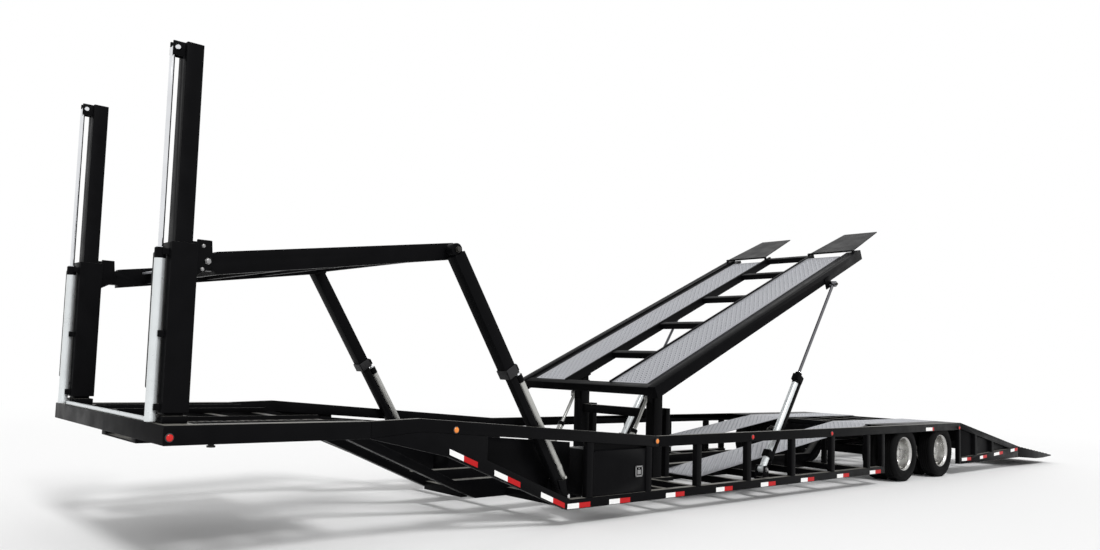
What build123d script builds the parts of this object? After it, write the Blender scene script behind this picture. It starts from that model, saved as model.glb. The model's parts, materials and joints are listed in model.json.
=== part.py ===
"""Two-axle car transporter semi-trailer. X forward, Y left, Z up, millimetres."""
from math import cos, hypot, radians, sin
import os

from build123d import *

# Driving dimensions
half_length = 8075
half_width = 1295
top_z = 785
low_z = 160
neck_x = 6460
neck_z = (860, 990)
hump = (6000, 1005)
knee_x = 3050
corner = (4340, low_z)
apex_x = -4160
tail_end = (-6480, 350)
rail_depth = 105
rail_y = (1235, half_width)
low_rail_y = (1215, half_width)
low_rail_top = 250
post_width = 85
upright_x = (2385, 1470, 555, -360, -1275)
well_start_x = -1720

# Main beams and floor
beam_y = (300, 400)
beam_top = 345
floor_z = (low_z + 5, 245)
axle_beam_z = (520, 700)
bolster_z = 790

# Wheels
wheel_radius = 383
axle_x = (-2404, -3576)
tyre_y = (1060, 1265)
twin_spacing = 255
rim_seat = 222
plate = 10
cover_z = (top_z - plate, top_z)
ramp_foot = (1950, 280)
ramp_head_x = -2000

# Masts and carriages
mast_x = (7845, 7965)
mast_y = (980, 1130)
mast_top = 3578
sleeve_gap = 6
sleeve_x = (7815, 7995)
sleeve_y = (955, 1155)
sleeve_z = (1060, 2200)
barrel_x = 8037
barrel_y = 1055
barrel_radius = 38
deck_pin = (7735, 2090)

# Upper deck
deck_rail_y = (1010, 1105)
deck_front = (7660, 2006, 2166)
deck_rear = (5600, 2320, 2462)

# Telescopic arms
arm_base = (4350, 375)
arm_top = (5650, 2390)
arm_y = 1184

# Tilt deck
tilt_angle = 23.7
tilt_front = (2830, 1264)
tilt_length = 4755
tilt_depth = 130
tilt_pin = (584, -162)
tilt_half_width = 1050
track_y = (360, 850)
tilt_lug_u = 3745
tilt_lug_w = -152
cylinder_base = (950, 330)
cylinder_y = 1122
flap_hinge = (4650, 26)
flap_tip_u = 5560

# Stand under the tilt deck
stand_y = (500, 620)
stand_foot = (2830, 330)
stand_head = (2360, 1120)
stand_lugs_y = ((524, 536), (584, 596))

# Flat sides of the pins, the rods and the wheels
pin_sides = 12
rod_sides = 16
wheel_sides = 30


def centre(span):
    return (span[0] + span[1]) / 2


def block(x, y, z, mode=Mode.ADD):
    """A box between pairs of limits."""
    with Locations((centre(x), centre(y), centre(z))):
        Box(x[1] - x[0], y[1] - y[0], z[1] - z[0], mode=mode)


def side_profile(points, y, mode=Mode.ADD):
    """A side outline, as X and Z points, extruded between two Y limits."""
    with BuildSketch(Plane.XZ.offset(-y[0])) as outline:
        Polygon(*points, align=None)
    extrude(outline.sketch, amount=-(y[1] - y[0]), mode=mode)


def cross_pin(x, z, y, radius, mode=Mode.ADD, sides=pin_sides):
    """A pin along Y with flat sides."""
    with BuildSketch(Plane.XZ.offset(-y[0])) as outline:
        with Locations((x, z)):
            RegularPolygon(radius, sides)
    extrude(outline.sketch, amount=-(y[1] - y[0]), mode=mode)


def bore(x, z, y, radius, mode=Mode.SUBTRACT):
    """A round hole along Y, or a round face where another piece turns."""
    with BuildSketch(Plane.XZ.offset(-y[0])) as outline:
        with Locations((x, z)):
            Circle(radius)
    extrude(outline.sketch, amount=-(y[1] - y[0]), mode=mode)


def turned(x, steps, closed=False):
    """A wheel's body round its axle line, from pairs of Y and radius, with flat sides."""
    angles = [radians(-90 + 360 * number / wheel_sides) for number in range(wheel_sides)]
    rings = [[(x + radius * cos(a), y, wheel_radius + radius * sin(a)) for a in angles] for y, radius in steps]
    faces = []
    for first, second in zip(rings, rings[1:] + rings[:1] if closed else rings[1:]):
        for number in range(wheel_sides):
            after = (number + 1) % wheel_sides
            corners = (first[number], first[after], second[after], second[number])
            faces.append(Face(Wire.make_polygon(corners)))
    if not closed:
        faces += [Face(Wire.make_polygon(rings[0])), Face(Wire.make_polygon(rings[-1]))]
    add(Solid(Shell(faces)))


def along(start, end, distance, side=0):
    """Point at a distance from start towards end, moved to the left of that line by side."""
    length = hypot(end[0] - start[0], end[1] - start[1])
    dx = (end[0] - start[0]) / length
    dz = (end[1] - start[1]) / length
    return (start[0] + dx * distance - dz * side, start[1] + dz * distance + dx * side)


def bar(start, end, s, t, y, mode=Mode.ADD):
    """A bar along the line from start to end, between lengths s and side offsets t."""
    corners = ((s[0], t[0]), (s[1], t[0]), (s[1], t[1]), (s[0], t[1]))
    side_profile([along(start, end, a, b) for a, b in corners], y, mode)


def rod(start, end, s, side, y, radius, mode=Mode.ADD):
    """A rod along the line from start to end, at one side offset."""
    x0, z0 = along(start, end, s[0], side)
    x1, z1 = along(start, end, s[1], side)
    with BuildSketch(Plane(origin=(x0, y, z0), z_dir=(x1 - x0, 0, z1 - z0))) as outline:
        RegularPolygon(radius, rod_sides)
    extrude(outline.sketch, amount=hypot(x1 - x0, z1 - z0), mode=mode)


def tilt_point(u, w):
    """Point of the tilt deck, u along it from its front edge and w square to it."""
    a = radians(tilt_angle)
    return (tilt_front[0] - u * cos(a) + w * sin(a), tilt_front[1] + u * sin(a) + w * cos(a))


def tilt_bar(u, w, y, mode=Mode.ADD):
    """A bar square to the tilt deck between its own limits."""
    corners = ((u[0], w[0]), (u[1], w[0]), (u[1], w[1]), (u[0], w[1]))
    side_profile([tilt_point(a, b) for a, b in corners], y, mode)


def deck_z(x, level):
    """Height on the upper deck's rails, level 0 at the underside and 1 on top."""
    share = (deck_front[0] - x) / (deck_front[0] - deck_rear[0])
    low = deck_front[1] + share * (deck_rear[1] - deck_front[1])
    high = deck_front[2] + share * (deck_rear[2] - deck_front[2])
    return low + level * (high - low)


def track_low(x):
    """Height of the lower tracks' underside on their slope."""
    rise = (top_z - ramp_foot[1]) / (ramp_head_x - ramp_foot[0])
    return ramp_foot[1] - plate + (x - ramp_foot[0]) * rise


rail_bend = (hump[0] - 10, hump[1] - rail_depth)


def rail_low(x):
    """Height of the top rail's underside, level to the knee and rising from there to the bend."""
    share = max(0, x - knee_x) / (rail_bend[0] - knee_x)
    return top_z - rail_depth + share * (rail_bend[1] - top_z + rail_depth)


# Neck frame: side rails, front beam, cross-members and the blocks under the masts
neck_front_x = (7930, 8030)
with BuildPart() as neck_frame:
    block((neck_x, neck_front_x[1]), (1175, half_width), neck_z)
    block((mast_x[0] - 60, neck_front_x[0]), (930, 1175), neck_z)
    mirror(about=Plane.XZ)
    block(neck_front_x, (-1175, 1175), neck_z)
    for x in (7420, 7000, 6560):
        block((x - 40, x + 40), (-1175, 1175), (neck_z[0], 940))

# Main beams: under the neck, down to the well, along it and over the axles
beam_low = ((7900, bolster_z), (6170, bolster_z), (4800, 213), (4670, floor_z[0]), (-1300, floor_z[0]),
            (-1800, axle_beam_z[0]), (apex_x, axle_beam_z[0]))
beam_high = ((apex_x, axle_beam_z[1]), (-1870, axle_beam_z[1]), (-1400, beam_top), (4930, beam_top),
             (6110, neck_z[0]), (7900, neck_z[0]))
bolster_plate = 12
kingpin_x = 7160
kingpin_flange = (60, 8)
kingpin_steps = ((55, 36.5), (34, 25.4), (15, 35.7))
with BuildPart() as main_beams:
    side_profile(beam_low + beam_high, beam_y)
    mirror(about=Plane.XZ)
    block((6700, 7900), (-beam_y[0], beam_y[0]), (bolster_z, bolster_z + bolster_plate))
    for x in (6740, 7290, 7700):
        block((x - 8, x + 8), (-beam_y[0], beam_y[0]), (bolster_z + bolster_plate, neck_z[0]))
    with BuildSketch(Plane.XY.offset(bolster_z)):
        with Locations((kingpin_x, 0)):
            Circle(kingpin_steps[0][1] + 0.5)
    extrude(amount=bolster_plate, mode=Mode.SUBTRACT)

with BuildPart() as kingpin:
    level = bolster_z + bolster_plate
    block((kingpin_x - kingpin_flange[0], kingpin_x + kingpin_flange[0]), (-kingpin_flange[0], kingpin_flange[0]),
          (level, level + kingpin_flange[1]))
    for depth, radius in kingpin_steps:
        with BuildSketch(Plane.XY.offset(level)):
            with Locations((kingpin_x, 0)):
                Circle(radius)
        extrude(amount=-depth)
        level -= depth

# Side frames: top rails, low rails, slanted front members, posts and flat panels
tyre_bay_x = (apex_x + 60, -1930)
with BuildPart() as top_rails:
    block((apex_x, knee_x), rail_y, (top_z - rail_depth, top_z))
    block(tyre_bay_x, (rail_y[0], half_width - 14), (low_z, cover_z[0]), mode=Mode.SUBTRACT)
    mirror(about=Plane.XZ)

with BuildPart() as rising_rails:
    side_profile(((neck_x, neck_z[1]), hump, (knee_x, top_z), (knee_x, top_z - rail_depth), rail_bend,
                  (neck_x, neck_z[0])), rail_y)
    mirror(about=Plane.XZ)

corner_top = (corner[0] - 50, low_rail_top)
with BuildPart() as low_rails:
    side_profile(((well_start_x, low_z), corner, corner_top, (well_start_x, low_rail_top)), low_rail_y)
    mirror(about=Plane.XZ)

with BuildPart() as slant_members:
    side_profile((corner, (5700, 690), (neck_x, neck_z[0]), rail_bend, (5640, 780), corner_top), rail_y)
    side_profile(((5660, 780), (5300, 640), (5300, rail_low(5300)), rail_bend), (half_width - 15, half_width))
    mirror(about=Plane.XZ)

track_post_y = (640, 700)
with BuildPart() as posts:
    for x in (4045, 3200) + upright_x + (well_start_x + post_width / 2,):
        edges = (x - post_width / 2, x + post_width / 2)
        side_profile(((edges[0], low_rail_top), (edges[1], low_rail_top), (edges[1], rail_low(edges[1])),
                      (edges[0], rail_low(edges[0]))), rail_y)
    block((apex_x, apex_x + 60), rail_y, (floor_z[0], top_z - rail_depth))
    for x in upright_x[1:]:
        side_profile(((x - 30, floor_z[1]), (x + 30, floor_z[1]), (x + 30, track_low(x + 30)),
                      (x - 30, track_low(x - 30))), track_post_y)
    mirror(about=Plane.XZ)

panel_y = (1060, 1068)
wheel_cover_x = (apex_x, -1850)
with BuildPart() as side_panels:
    side_profile(((4090, floor_z[1]), (4400, floor_z[1]), (5560, 700), (5560, 850), (4090, 740)), panel_y)
    block(wheel_cover_x, (950, rail_y[0]), cover_z)
    mirror(about=Plane.XZ)

# Tool boxes, open to the side behind their doors
box_x = (3245, 4000)
box_y = (900, 1270)
box_z = (low_rail_top, 675)
wall = 5
with BuildPart() as tool_boxes:
    block(box_x, box_y, box_z)
    block((box_x[0] + wall, box_x[1] - wall), (box_y[0] + wall, box_y[1]),
          (box_z[0] + wall, box_z[1] - wall), mode=Mode.SUBTRACT)
    mirror(about=Plane.XZ)

door_hinge = (3996, 1289)
door_y = (1276, 1288)
with BuildPart() as door_left:
    block((box_x[0] + 4, door_hinge[0] - 12), door_y, (box_z[0] + 6, box_z[1] - 4))
    with Locations((door_hinge[0], door_hinge[1], centre(box_z))):
        Cylinder(6, 400)
    block((door_hinge[0] - 12, door_hinge[0] - 2), (door_y[1] - 4, door_y[1]), (270, 655))
    block((3300, 3410), (door_y[1], door_y[1] + 8), (400, 510))

with BuildPart() as door_right:
    mirror(door_left.part, about=Plane.XZ)

# Cross-members of the well's floor and over the axles
with BuildPart() as cross_members:
    for x in (4250, 3600, stand_foot[0]) + upright_x:
        block((x - 40, x + 40), (beam_y[1], low_rail_y[0]), floor_z)
    block((890, 1010), (1060, low_rail_y[0]), floor_z)
    mirror(about=Plane.XZ)
    for x in (4730, 4250, stand_foot[0]) + upright_x:
        block((x - 40, x + 40), (-beam_y[0], beam_y[0]), floor_z)
    for x, reach in ((-2060, 760), (axle_x[0], 760), (centre(axle_x), rail_y[0]), (axle_x[1], 760),
                     (-4100, rail_y[0])):
        block((x - 30, x + 30), (-reach, reach), (axle_beam_z[1], cover_z[0]))

# Feet of the arms, the tilt cylinders and the stand's cylinders
with BuildPart() as pivot_feet:
    side_profile(((4270, 245), (4440, 245), (4400, 420), (4300, 420)), (1100, 1124))
    side_profile(((4270, 250), (4330, 250), (4400, 420), (4300, 420)), (1228, rail_y[0]))
    cross_pin(arm_base[0], arm_base[1], (1124, 1228), 22)
    for y in ((1064, 1076), (1168, 1180)):
        side_profile(((890, 245), (1010, 245), (990, 375), (910, 375)), y)
    cross_pin(cylinder_base[0], cylinder_base[1], (1076, 1168), 20)
    for y in stand_lugs_y:
        side_profile(((2790, floor_z[1]), (2870, floor_z[1]), (2860, 355), (2800, 355)), y)
    mirror(about=Plane.XZ)

# Landing legs with feet
leg_x = (3300, 3390)
leg_y = (beam_y[1], beam_y[1] + 90)
with BuildPart() as landing_legs:
    block(leg_x, leg_y, (12, 420))
    block((leg_x[0] - 60, leg_x[1] + 60), (leg_y[0] - 40, leg_y[1] + 60), (0, 12))
    mirror(about=Plane.XZ)

# Fixed wheel tracks: up from the well, level over the axles, down the tail, and on the neck
with BuildPart() as lower_tracks:
    side_profile(((ramp_foot[0], ramp_foot[1]), (ramp_head_x, top_z), (apex_x, top_z),
                  (tail_end[0], tail_end[1]), (tail_end[0], tail_end[1] - plate),
                  (apex_x, cover_z[0]), (ramp_head_x, cover_z[0]),
                  (ramp_foot[0], ramp_foot[1] - plate)), (405, 950))
    block((neck_x, mast_x[0] - 80), (480, 1000), (940, 952))
    block((neck_x, mast_x[0] - 80), (480, 490), (952, 985))
    block((neck_x, mast_x[0] - 80), (990, 1000), (952, 985))
    mirror(about=Plane.XZ)

# Tail frame
tail_slope = (top_z - tail_end[1]) / (apex_x - tail_end[0])


def tail_top(x):
    return top_z - (apex_x - x) * tail_slope


chord = 90
tail_post_x = (-4730, -5390, tail_end[0] + 45)
ramp_hinge = (tail_end[0] - 16, tail_end[1] - 14)
with BuildPart() as tail_frame:
    side_profile(((apex_x, top_z), tail_end, (tail_end[0], tail_end[1] - chord),
                  (apex_x, top_z - chord)), rail_y)
    side_profile(((apex_x, floor_z[0]), (tail_end[0], floor_z[0]), (tail_end[0], 335), (apex_x, 255)), rail_y)
    for x in tail_post_x:
        block((x - 35, x + 35), rail_y, (200, tail_top(x) - 60))
    side_profile(((apex_x, 255), (tail_end[0], 265), (tail_end[0], 270), (apex_x, 700)), (1235, 1243))
    for y in ((646, 706), (974, 1034)):
        cross_pin(ramp_hinge[0], ramp_hinge[1], y, 13)
        block((ramp_hinge[0], tail_end[0] + 10), y, (ramp_hinge[1] - 13, ramp_hinge[1] + 3))
    cross_pin(ramp_hinge[0], ramp_hinge[1], (440, 1240), 7)
    mirror(about=Plane.XZ)
    for x in (-4260,) + tail_post_x:
        roof = [(edge, tail_top(edge) - plate) for edge in (x + 40, x - 40)]
        side_profile(((x - 40, roof[1][1] - 120), (x + 40, roof[1][1] - 120), *roof), (-rail_y[0], rail_y[0]))

# Rear ramps
ramp_y = (410, 1290)
ramp_tip = (-half_length, 140)
ramp_root = (tail_end[0] - 30, tail_end[1] - 8)
rib_y = (ramp_y[0] + 12, ramp_y[1] - 12)
with BuildPart() as ramp_left:
    side_profile((ramp_root, ramp_tip, (ramp_tip[0], ramp_tip[1] - 14), (-7660, 108), (-7310, 110),
                  (ramp_root[0], floor_z[0])), ramp_y)
    side_profile(((ramp_root[0] + 20, ramp_root[1] - 12), (ramp_tip[0] + 180, ramp_tip[1] + 14),
                  (ramp_tip[0] + 180, 0), (ramp_root[0] + 20, 0)), rib_y, mode=Mode.SUBTRACT)
    for share in (0.02, 0.3, 0.6):
        x = ramp_root[0] - share * 1550
        z = ramp_root[1] - share * 200
        block((x - 12, x), rib_y, (z - 110 + share * 90, z - 8))
    for y in ((440, 640), (1040, 1240)):
        side_profile(((ramp_root[0] - 4, ramp_hinge[1] + 6), (ramp_hinge[0], ramp_hinge[1] + 6),
                      (ramp_hinge[0], ramp_hinge[1] - 12), (ramp_root[0] - 4, ramp_hinge[1] - 12)), y)
        cross_pin(ramp_hinge[0], ramp_hinge[1], y, 13)
        bore(ramp_hinge[0], ramp_hinge[1], y, 7.5)

with BuildPart() as ramp_right:
    mirror(ramp_left.part, about=Plane.XZ)

# Axles, springs and hangers
with BuildPart() as axle_beams:
    for x in axle_x:
        block((x - 63, x + 63), (-800, 800), (wheel_radius - 63, wheel_radius + 63))
        bore(x, wheel_radius, (-1100, 1100), 38, mode=Mode.ADD)

spring_y = (beam_y[0] + 12, beam_y[1] - 12)
spring_z = (448, 500)
with BuildPart() as springs:
    for x in axle_x:
        block((x - 60, x + 60), spring_y, (wheel_radius + 63, spring_z[0]))
        block((x - 540, x + 540), spring_y, spring_z)
    for x in (-1835, centre(axle_x), -4130):
        block((x - 30, x + 30), spring_y, (spring_z[0] - 20, axle_beam_z[0]))
    mirror(about=Plane.XZ)

# Air tank of the brakes, hung between the main beams
tank_z = 560
tank_radius = 118
with BuildPart() as air_tank:
    cross_pin(centre(axle_x), tank_z, (-260, 260), tank_radius)
    for y in (-190, 190):
        block((centre(axle_x) - 30, centre(axle_x) + 30), (y - 25, y + 25), (tank_z + 90, axle_beam_z[1]))

# Wheels
axle_names = ("front", "rear")
side_names = (("left", 1), ("right", -1))
outer_y = centre(tyre_y)
tyre_half = (tyre_y[1] - tyre_y[0]) / 2


rim_lip = 234
rim_inside = rim_seat - 10
hub_radius = 82
drum_radius = 165
drum_y = 840
stub_bore = 39.5
# Tyre section, pairs of Y from its middle and radius
tyre_steps = ((-74, rim_lip + 2), (-tyre_half, 300), (-92, 358), (-74, wheel_radius), (74, wheel_radius),
              (92, 358), (tyre_half, 300), (74, rim_lip + 2), (74, rim_seat), (-74, rim_seat))


def tyre(x, y):
    """One tyre about its axle line."""
    turned(x, [(y + offset, radius) for offset, radius in tyre_steps], closed=True)


def twin_rims(x, side):
    """Two deep rims back to back with their lips, disc, hub and drum, from the hub's face to its bore."""
    out = outer_y
    twin = outer_y - twin_spacing
    steps = ((out + 4, hub_radius), (out - 62, hub_radius), (out - 62, rim_inside), (out + 80, rim_inside),
             (out + 80, rim_lip), (out + 74, rim_lip), (out + 74, rim_seat), (out - 80, rim_seat),
             (out - 80, rim_inside), (twin + 80, rim_inside), (twin + 80, rim_seat), (twin - 74, rim_seat),
             (twin - 74, rim_lip), (twin - 80, rim_lip), (twin - 80, rim_inside), (twin + 50, rim_inside),
             (twin + 50, drum_radius), (drum_y, drum_radius))
    turned(x, [(side * y, radius) for y, radius in steps])
    bore(x, wheel_radius, sorted((side * (drum_y - 10), side * (out - 12))), stub_bore)


wheels = {}
for axle, x in zip(axle_names, axle_x):
    for side, sign in side_names:
        with BuildPart() as tyres:
            tyre(x, sign * outer_y)
            tyre(x, sign * (outer_y - twin_spacing))
        wheels[f"tyres_{axle}_{side}"] = tyres
        with BuildPart() as rims:
            twin_rims(x, sign)
        wheels[f"rims_{axle}_{side}"] = rims

# Masts with their clevises, and the lift rods that hang from them
rod_radius = 18
clevis_z = (3480, mast_top)
with BuildPart() as masts:
    block(mast_x, mast_y, (neck_z[1], mast_top))
    block((mast_x[0] - 25, mast_x[1] + 25), (955, 1155), (neck_z[1], 1040))
    for y in ((1020, 1035), (1075, 1090)):
        block((mast_x[1], barrel_x + 10), y, clevis_z)
    mirror(about=Plane.XZ)

with BuildPart() as lift_rods:
    block((barrel_x - 40, barrel_x), (1035, 1075), (3495, 3555))
    with BuildSketch(Plane.XY.offset(2070)):
        with Locations((barrel_x, barrel_y)):
            Circle(rod_radius)
    extrude(amount=3530 - 2070)
    mirror(about=Plane.XZ)

# Carriages: a sleeve round each mast, with cheeks for the deck's pin
cheek_y = ((985, 1003), (1112, 1130))
with BuildPart() as carriage_left:
    block(sleeve_x, sleeve_y, sleeve_z)
    block((mast_x[0] - sleeve_gap, mast_x[1] + sleeve_gap), (mast_y[0] - sleeve_gap, mast_y[1] + sleeve_gap),
          sleeve_z, mode=Mode.SUBTRACT)
    for y in cheek_y:
        side_profile(((sleeve_x[0], 1985), (sleeve_x[0], 2235), (7710, 2235), (7695, 2050)), y)
    cross_pin(deck_pin[0], deck_pin[1], (cheek_y[0][0], cheek_y[1][1]), 22)
    for z in (1075, 1560, 2110):
        block((sleeve_x[1], barrel_x), (1005, 1105), (z, z + 45))
    with BuildSketch(Plane.XY.offset(1000)):
        with Locations((barrel_x, barrel_y)):
            Circle(barrel_radius)
    extrude(amount=1300, mode=Mode.SUBTRACT)

with BuildPart() as carriage_right:
    mirror(carriage_left.part, about=Plane.XZ)

with BuildPart() as lift_barrel_left:
    with BuildSketch(Plane.XY.offset(1000)):
        with Locations((barrel_x, barrel_y)):
            Circle(barrel_radius)
    extrude(amount=1160)
    with BuildSketch(Plane.XY.offset(1020)):
        with Locations((barrel_x, barrel_y)):
            Circle(rod_radius + 3)
    extrude(amount=1160, mode=Mode.SUBTRACT)

with BuildPart() as lift_barrel_right:
    mirror(lift_barrel_left.part, about=Plane.XZ)

# Upper deck frame: side rails with eyes on the carriages' pins, and cross-members
deck_members_x = (7400, 6850, 6300, 5680)
with BuildPart() as upper_deck_frame:
    side_profile(((deck_front[0], deck_front[1]), (deck_rear[0], deck_rear[1]), (deck_rear[0], deck_rear[2]),
                  (deck_front[0], deck_front[2])), deck_rail_y)
    block((deck_front[0], deck_pin[0]), deck_rail_y, (2030, 2150))
    cross_pin(deck_pin[0], deck_pin[1], deck_rail_y, 60)
    bore(deck_pin[0], deck_pin[1], deck_rail_y, 22.6)
    cross_pin(arm_top[0], arm_top[1], (deck_rail_y[1], arm_y - 60), 50)
    mirror(about=Plane.XZ)
    for x in deck_members_x:
        edges = ((x - 35, 0.1), (x + 35, 0.1), (x + 35, 0.65), (x - 35, 0.65))
        side_profile([(a, deck_z(a, level)) for a, level in edges], (-deck_rail_y[0], deck_rail_y[0]))

with BuildPart() as upper_tracks:
    ends = (7480, 5610)
    side_profile(((ends[0], deck_z(ends[0], 0.65)), (ends[1], deck_z(ends[1], 0.65)),
                  (ends[1], deck_z(ends[1], 0.75)), (ends[0], deck_z(ends[0], 0.75))), (440, 950))
    mirror(about=Plane.XZ)

# Telescopic arms under the deck's rear end
arm_length = hypot(arm_top[0] - arm_base[0], arm_top[1] - arm_base[1])
inner_half = 36
outer_half = 58
outer_start = 1160
arm_cylinder_side = 84
with BuildPart() as arm_tube_left:
    bar(arm_base, arm_top, (0, 2200), (-inner_half, inner_half), (arm_y - inner_half, arm_y + inner_half))
    cross_pin(arm_base[0], arm_base[1], (arm_y - inner_half, arm_y + inner_half), inner_half + 8)
    bore(arm_base[0], arm_base[1], (arm_y - 60, arm_y + 60), 22.5)
    for s in (150, 620):
        bar(arm_base, arm_top, (s, s + 40), (inner_half, arm_cylinder_side), (arm_y - 20, arm_y + 20))
    rod(arm_base, arm_top, (100, 1140), arm_cylinder_side, arm_y, 33, mode=Mode.SUBTRACT)

with BuildPart() as arm_barrel_left:
    rod(arm_base, arm_top, (120, 1120), arm_cylinder_side, arm_y, 33)
    rod(arm_base, arm_top, (220, 1130), arm_cylinder_side, arm_y, 20, mode=Mode.SUBTRACT)

with BuildPart() as arm_outer_left:
    bar(arm_base, arm_top, (outer_start, arm_length - 40), (-outer_half, outer_half),
        (arm_y - outer_half, arm_y + outer_half))
    bar(arm_base, arm_top, (outer_start, arm_length - 120), (-inner_half - 6, inner_half + 6),
        (arm_y - inner_half - 6, arm_y + inner_half + 6), mode=Mode.SUBTRACT)
    cross_pin(arm_top[0], arm_top[1], (arm_y - 45, arm_y + 45), 55, sides=2 * pin_sides)
    cross_pin(arm_top[0], arm_top[1], (arm_y - 58, arm_y + 52), 22)
    bar(arm_base, arm_top, (outer_start, outer_start + 60), (outer_half, arm_cylinder_side + 22),
        (arm_y - 25, arm_y + 25))

with BuildPart() as arm_rod_left:
    rod(arm_base, arm_top, (280, outer_start), arm_cylinder_side, arm_y, 16)

arm_right = {}
for label, piece in (("arm_tube_right", arm_tube_left), ("arm_barrel_right", arm_barrel_left),
                     ("arm_outer_right", arm_outer_left), ("arm_rod_right", arm_rod_left)):
    with BuildPart() as other_side:
        mirror(piece.part, about=Plane.XZ)
    arm_right[label] = other_side

# Stand that carries the tilt deck
pin_x, pin_z = tilt_point(*tilt_pin)
with BuildPart() as stand_posts:
    block((2160, 2300), stand_y, (floor_z[1], 1290))
    side_profile(((2180, 1290), (2280, 1290), (pin_x + 45, pin_z), (pin_x - 45, pin_z)), stand_y)
    cross_pin(pin_x, pin_z, stand_y, 45)
    block((2020, 2090), stand_y, (floor_z[1], 1010))
    block((2090, 2160), (530, 590), (930, 1010))
    block((1990, 2330), (beam_y[1], 660), (floor_z[1] - 40, floor_z[1]))
    for y in stand_lugs_y:
        side_profile(((2300, 1060), (2385, 1090), (2385, 1150), (2300, 1170)), y)
    bore(pin_x, pin_z, (stand_y[0] - 5, stand_y[1] + 5), 25.5)
    mirror(about=Plane.XZ)
    block((2190, 2270), (-stand_y[0], stand_y[0]), (900, 1000))

with BuildPart() as stand_cylinders:
    bar(stand_foot, stand_head, (20, 70), (-20, 20), (540, 580))
    rod(stand_foot, stand_head, (64, 520), 0, centre(stand_y), 34)
    rod(stand_foot, stand_head, (520, 900), 0, centre(stand_y), 18)
    for place in (stand_foot, stand_head):
        cross_pin(place[0], place[1], (stand_lugs_y[0][1], stand_lugs_y[1][0]), 30)
    mirror(about=Plane.XZ)

# Tilt deck frame
rung_u = (980, 1970, 2960, 3950)
flap_bracket_y = ((340, 358), (1000, 1014))
with BuildPart() as tilt_deck_frame:
    tilt_bar((0, tilt_length), (-tilt_depth, 0), (950, tilt_half_width))
    tilt_bar((0, tilt_length), (-60, -20), (track_y[1], 950))
    tilt_bar((100, tilt_length), (-100, 0), (track_y[0] - 30, track_y[0]))
    for u in rung_u + (tilt_pin[0], tilt_length - 80):
        tilt_bar((u - 40, u + 40), (-100, -60), (track_y[0] - 30, 950))
    for y in ((476, 494), (626, 644)):
        tilt_bar((tilt_pin[0] - 60, tilt_pin[0] + 60), (tilt_pin[1] - 20, -60), y)
    x, z = tilt_point(*tilt_pin)
    cross_pin(x, z, (476, 644), 25)
    tilt_bar((tilt_lug_u - 70, tilt_lug_u + 70), (-200, -60), (tilt_half_width, tilt_half_width + 14))
    x, z = tilt_point(tilt_lug_u, tilt_lug_w)
    cross_pin(x, z, (tilt_half_width + 14, cylinder_y - 42), 45)
    for y in flap_bracket_y:
        tilt_bar((flap_hinge[0] - 25, flap_hinge[0] + 10), (-12, flap_hinge[1] + 10), y)
    x, z = tilt_point(*flap_hinge)
    cross_pin(x, z, (flap_bracket_y[0][0], flap_bracket_y[1][1]), 6)
    mirror(about=Plane.XZ)
    tilt_bar((0, 100), (-100, -10), (-950, 950))
    for u in rung_u + (tilt_length - 80,):
        tilt_bar((u - 40, u + 40), (-80, -10), (-track_y[0] + 30, track_y[0] - 30))

track_u = (100, flap_hinge[0] - 90)
with BuildPart() as tilt_tracks:
    tilt_bar(track_u, (-24, -12), track_y)
    for edge in (track_y[0], track_y[1] - 10):
        tilt_bar(track_u, (-60, -24), (edge, edge + 10))
    mirror(about=Plane.XZ)

# Flaps that carry a car's wheels off the tilt deck's rear end, tapered in plan
flap_base_y = (365, 995)
flap_tip_y = (440, 930)
flap_w = (flap_hinge[1] - 6, flap_hinge[1] + 6)
with BuildPart() as flap_left:
    lean = radians(tilt_angle)
    x, z = tilt_point(0, flap_w[0])
    with BuildSketch(Plane(origin=(x, 0, z), x_dir=(-cos(lean), 0, sin(lean)), z_dir=(sin(lean), 0, cos(lean)))) as plan:
        Polygon((flap_hinge[0], -flap_base_y[0]), (flap_tip_u, -flap_tip_y[0]), (flap_tip_u, -flap_tip_y[1]),
                (flap_hinge[0] + 60, -flap_base_y[1]), (flap_hinge[0], -flap_base_y[1]), align=None)
    extrude(plan.sketch, amount=flap_w[1] - flap_w[0])
    x, z = tilt_point(*flap_hinge)
    cross_pin(x, z, flap_base_y, 12)
    bore(x, z, flap_base_y, 6.5)

with BuildPart() as flap_right:
    mirror(flap_left.part, about=Plane.XZ)

# Lift cylinders of the tilt deck
cylinder_top = tilt_point(tilt_lug_u, tilt_lug_w)
cylinder_length = hypot(cylinder_top[0] - cylinder_base[0], cylinder_top[1] - cylinder_base[1])
barrel_end = 1370
guide_side = 74
with BuildPart() as tilt_barrel_left:
    rod(cylinder_base, cylinder_top, (30, barrel_end), 0, cylinder_y, 38)
    cross_pin(cylinder_base[0], cylinder_base[1], (cylinder_y - 38, cylinder_y + 38), 36)
    bore(cylinder_base[0], cylinder_base[1], (cylinder_y - 50, cylinder_y + 50), 20.5)
    rod(cylinder_base, cylinder_top, (90, barrel_end + 10), 0, cylinder_y, 24, mode=Mode.SUBTRACT)

with BuildPart() as tilt_guide_left:
    bar(cylinder_base, cylinder_top, (120, barrel_end), (guide_side - 24, guide_side + 24),
        (cylinder_y - 24, cylinder_y + 24))
    for s in (160, barrel_end - 110):
        bar(cylinder_base, cylinder_top, (s, s + 90), (-45, guide_side), (cylinder_y - 44, cylinder_y + 44))
    rod(cylinder_base, cylinder_top, (30, barrel_end + 10), 0, cylinder_y, 38, mode=Mode.SUBTRACT)

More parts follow.
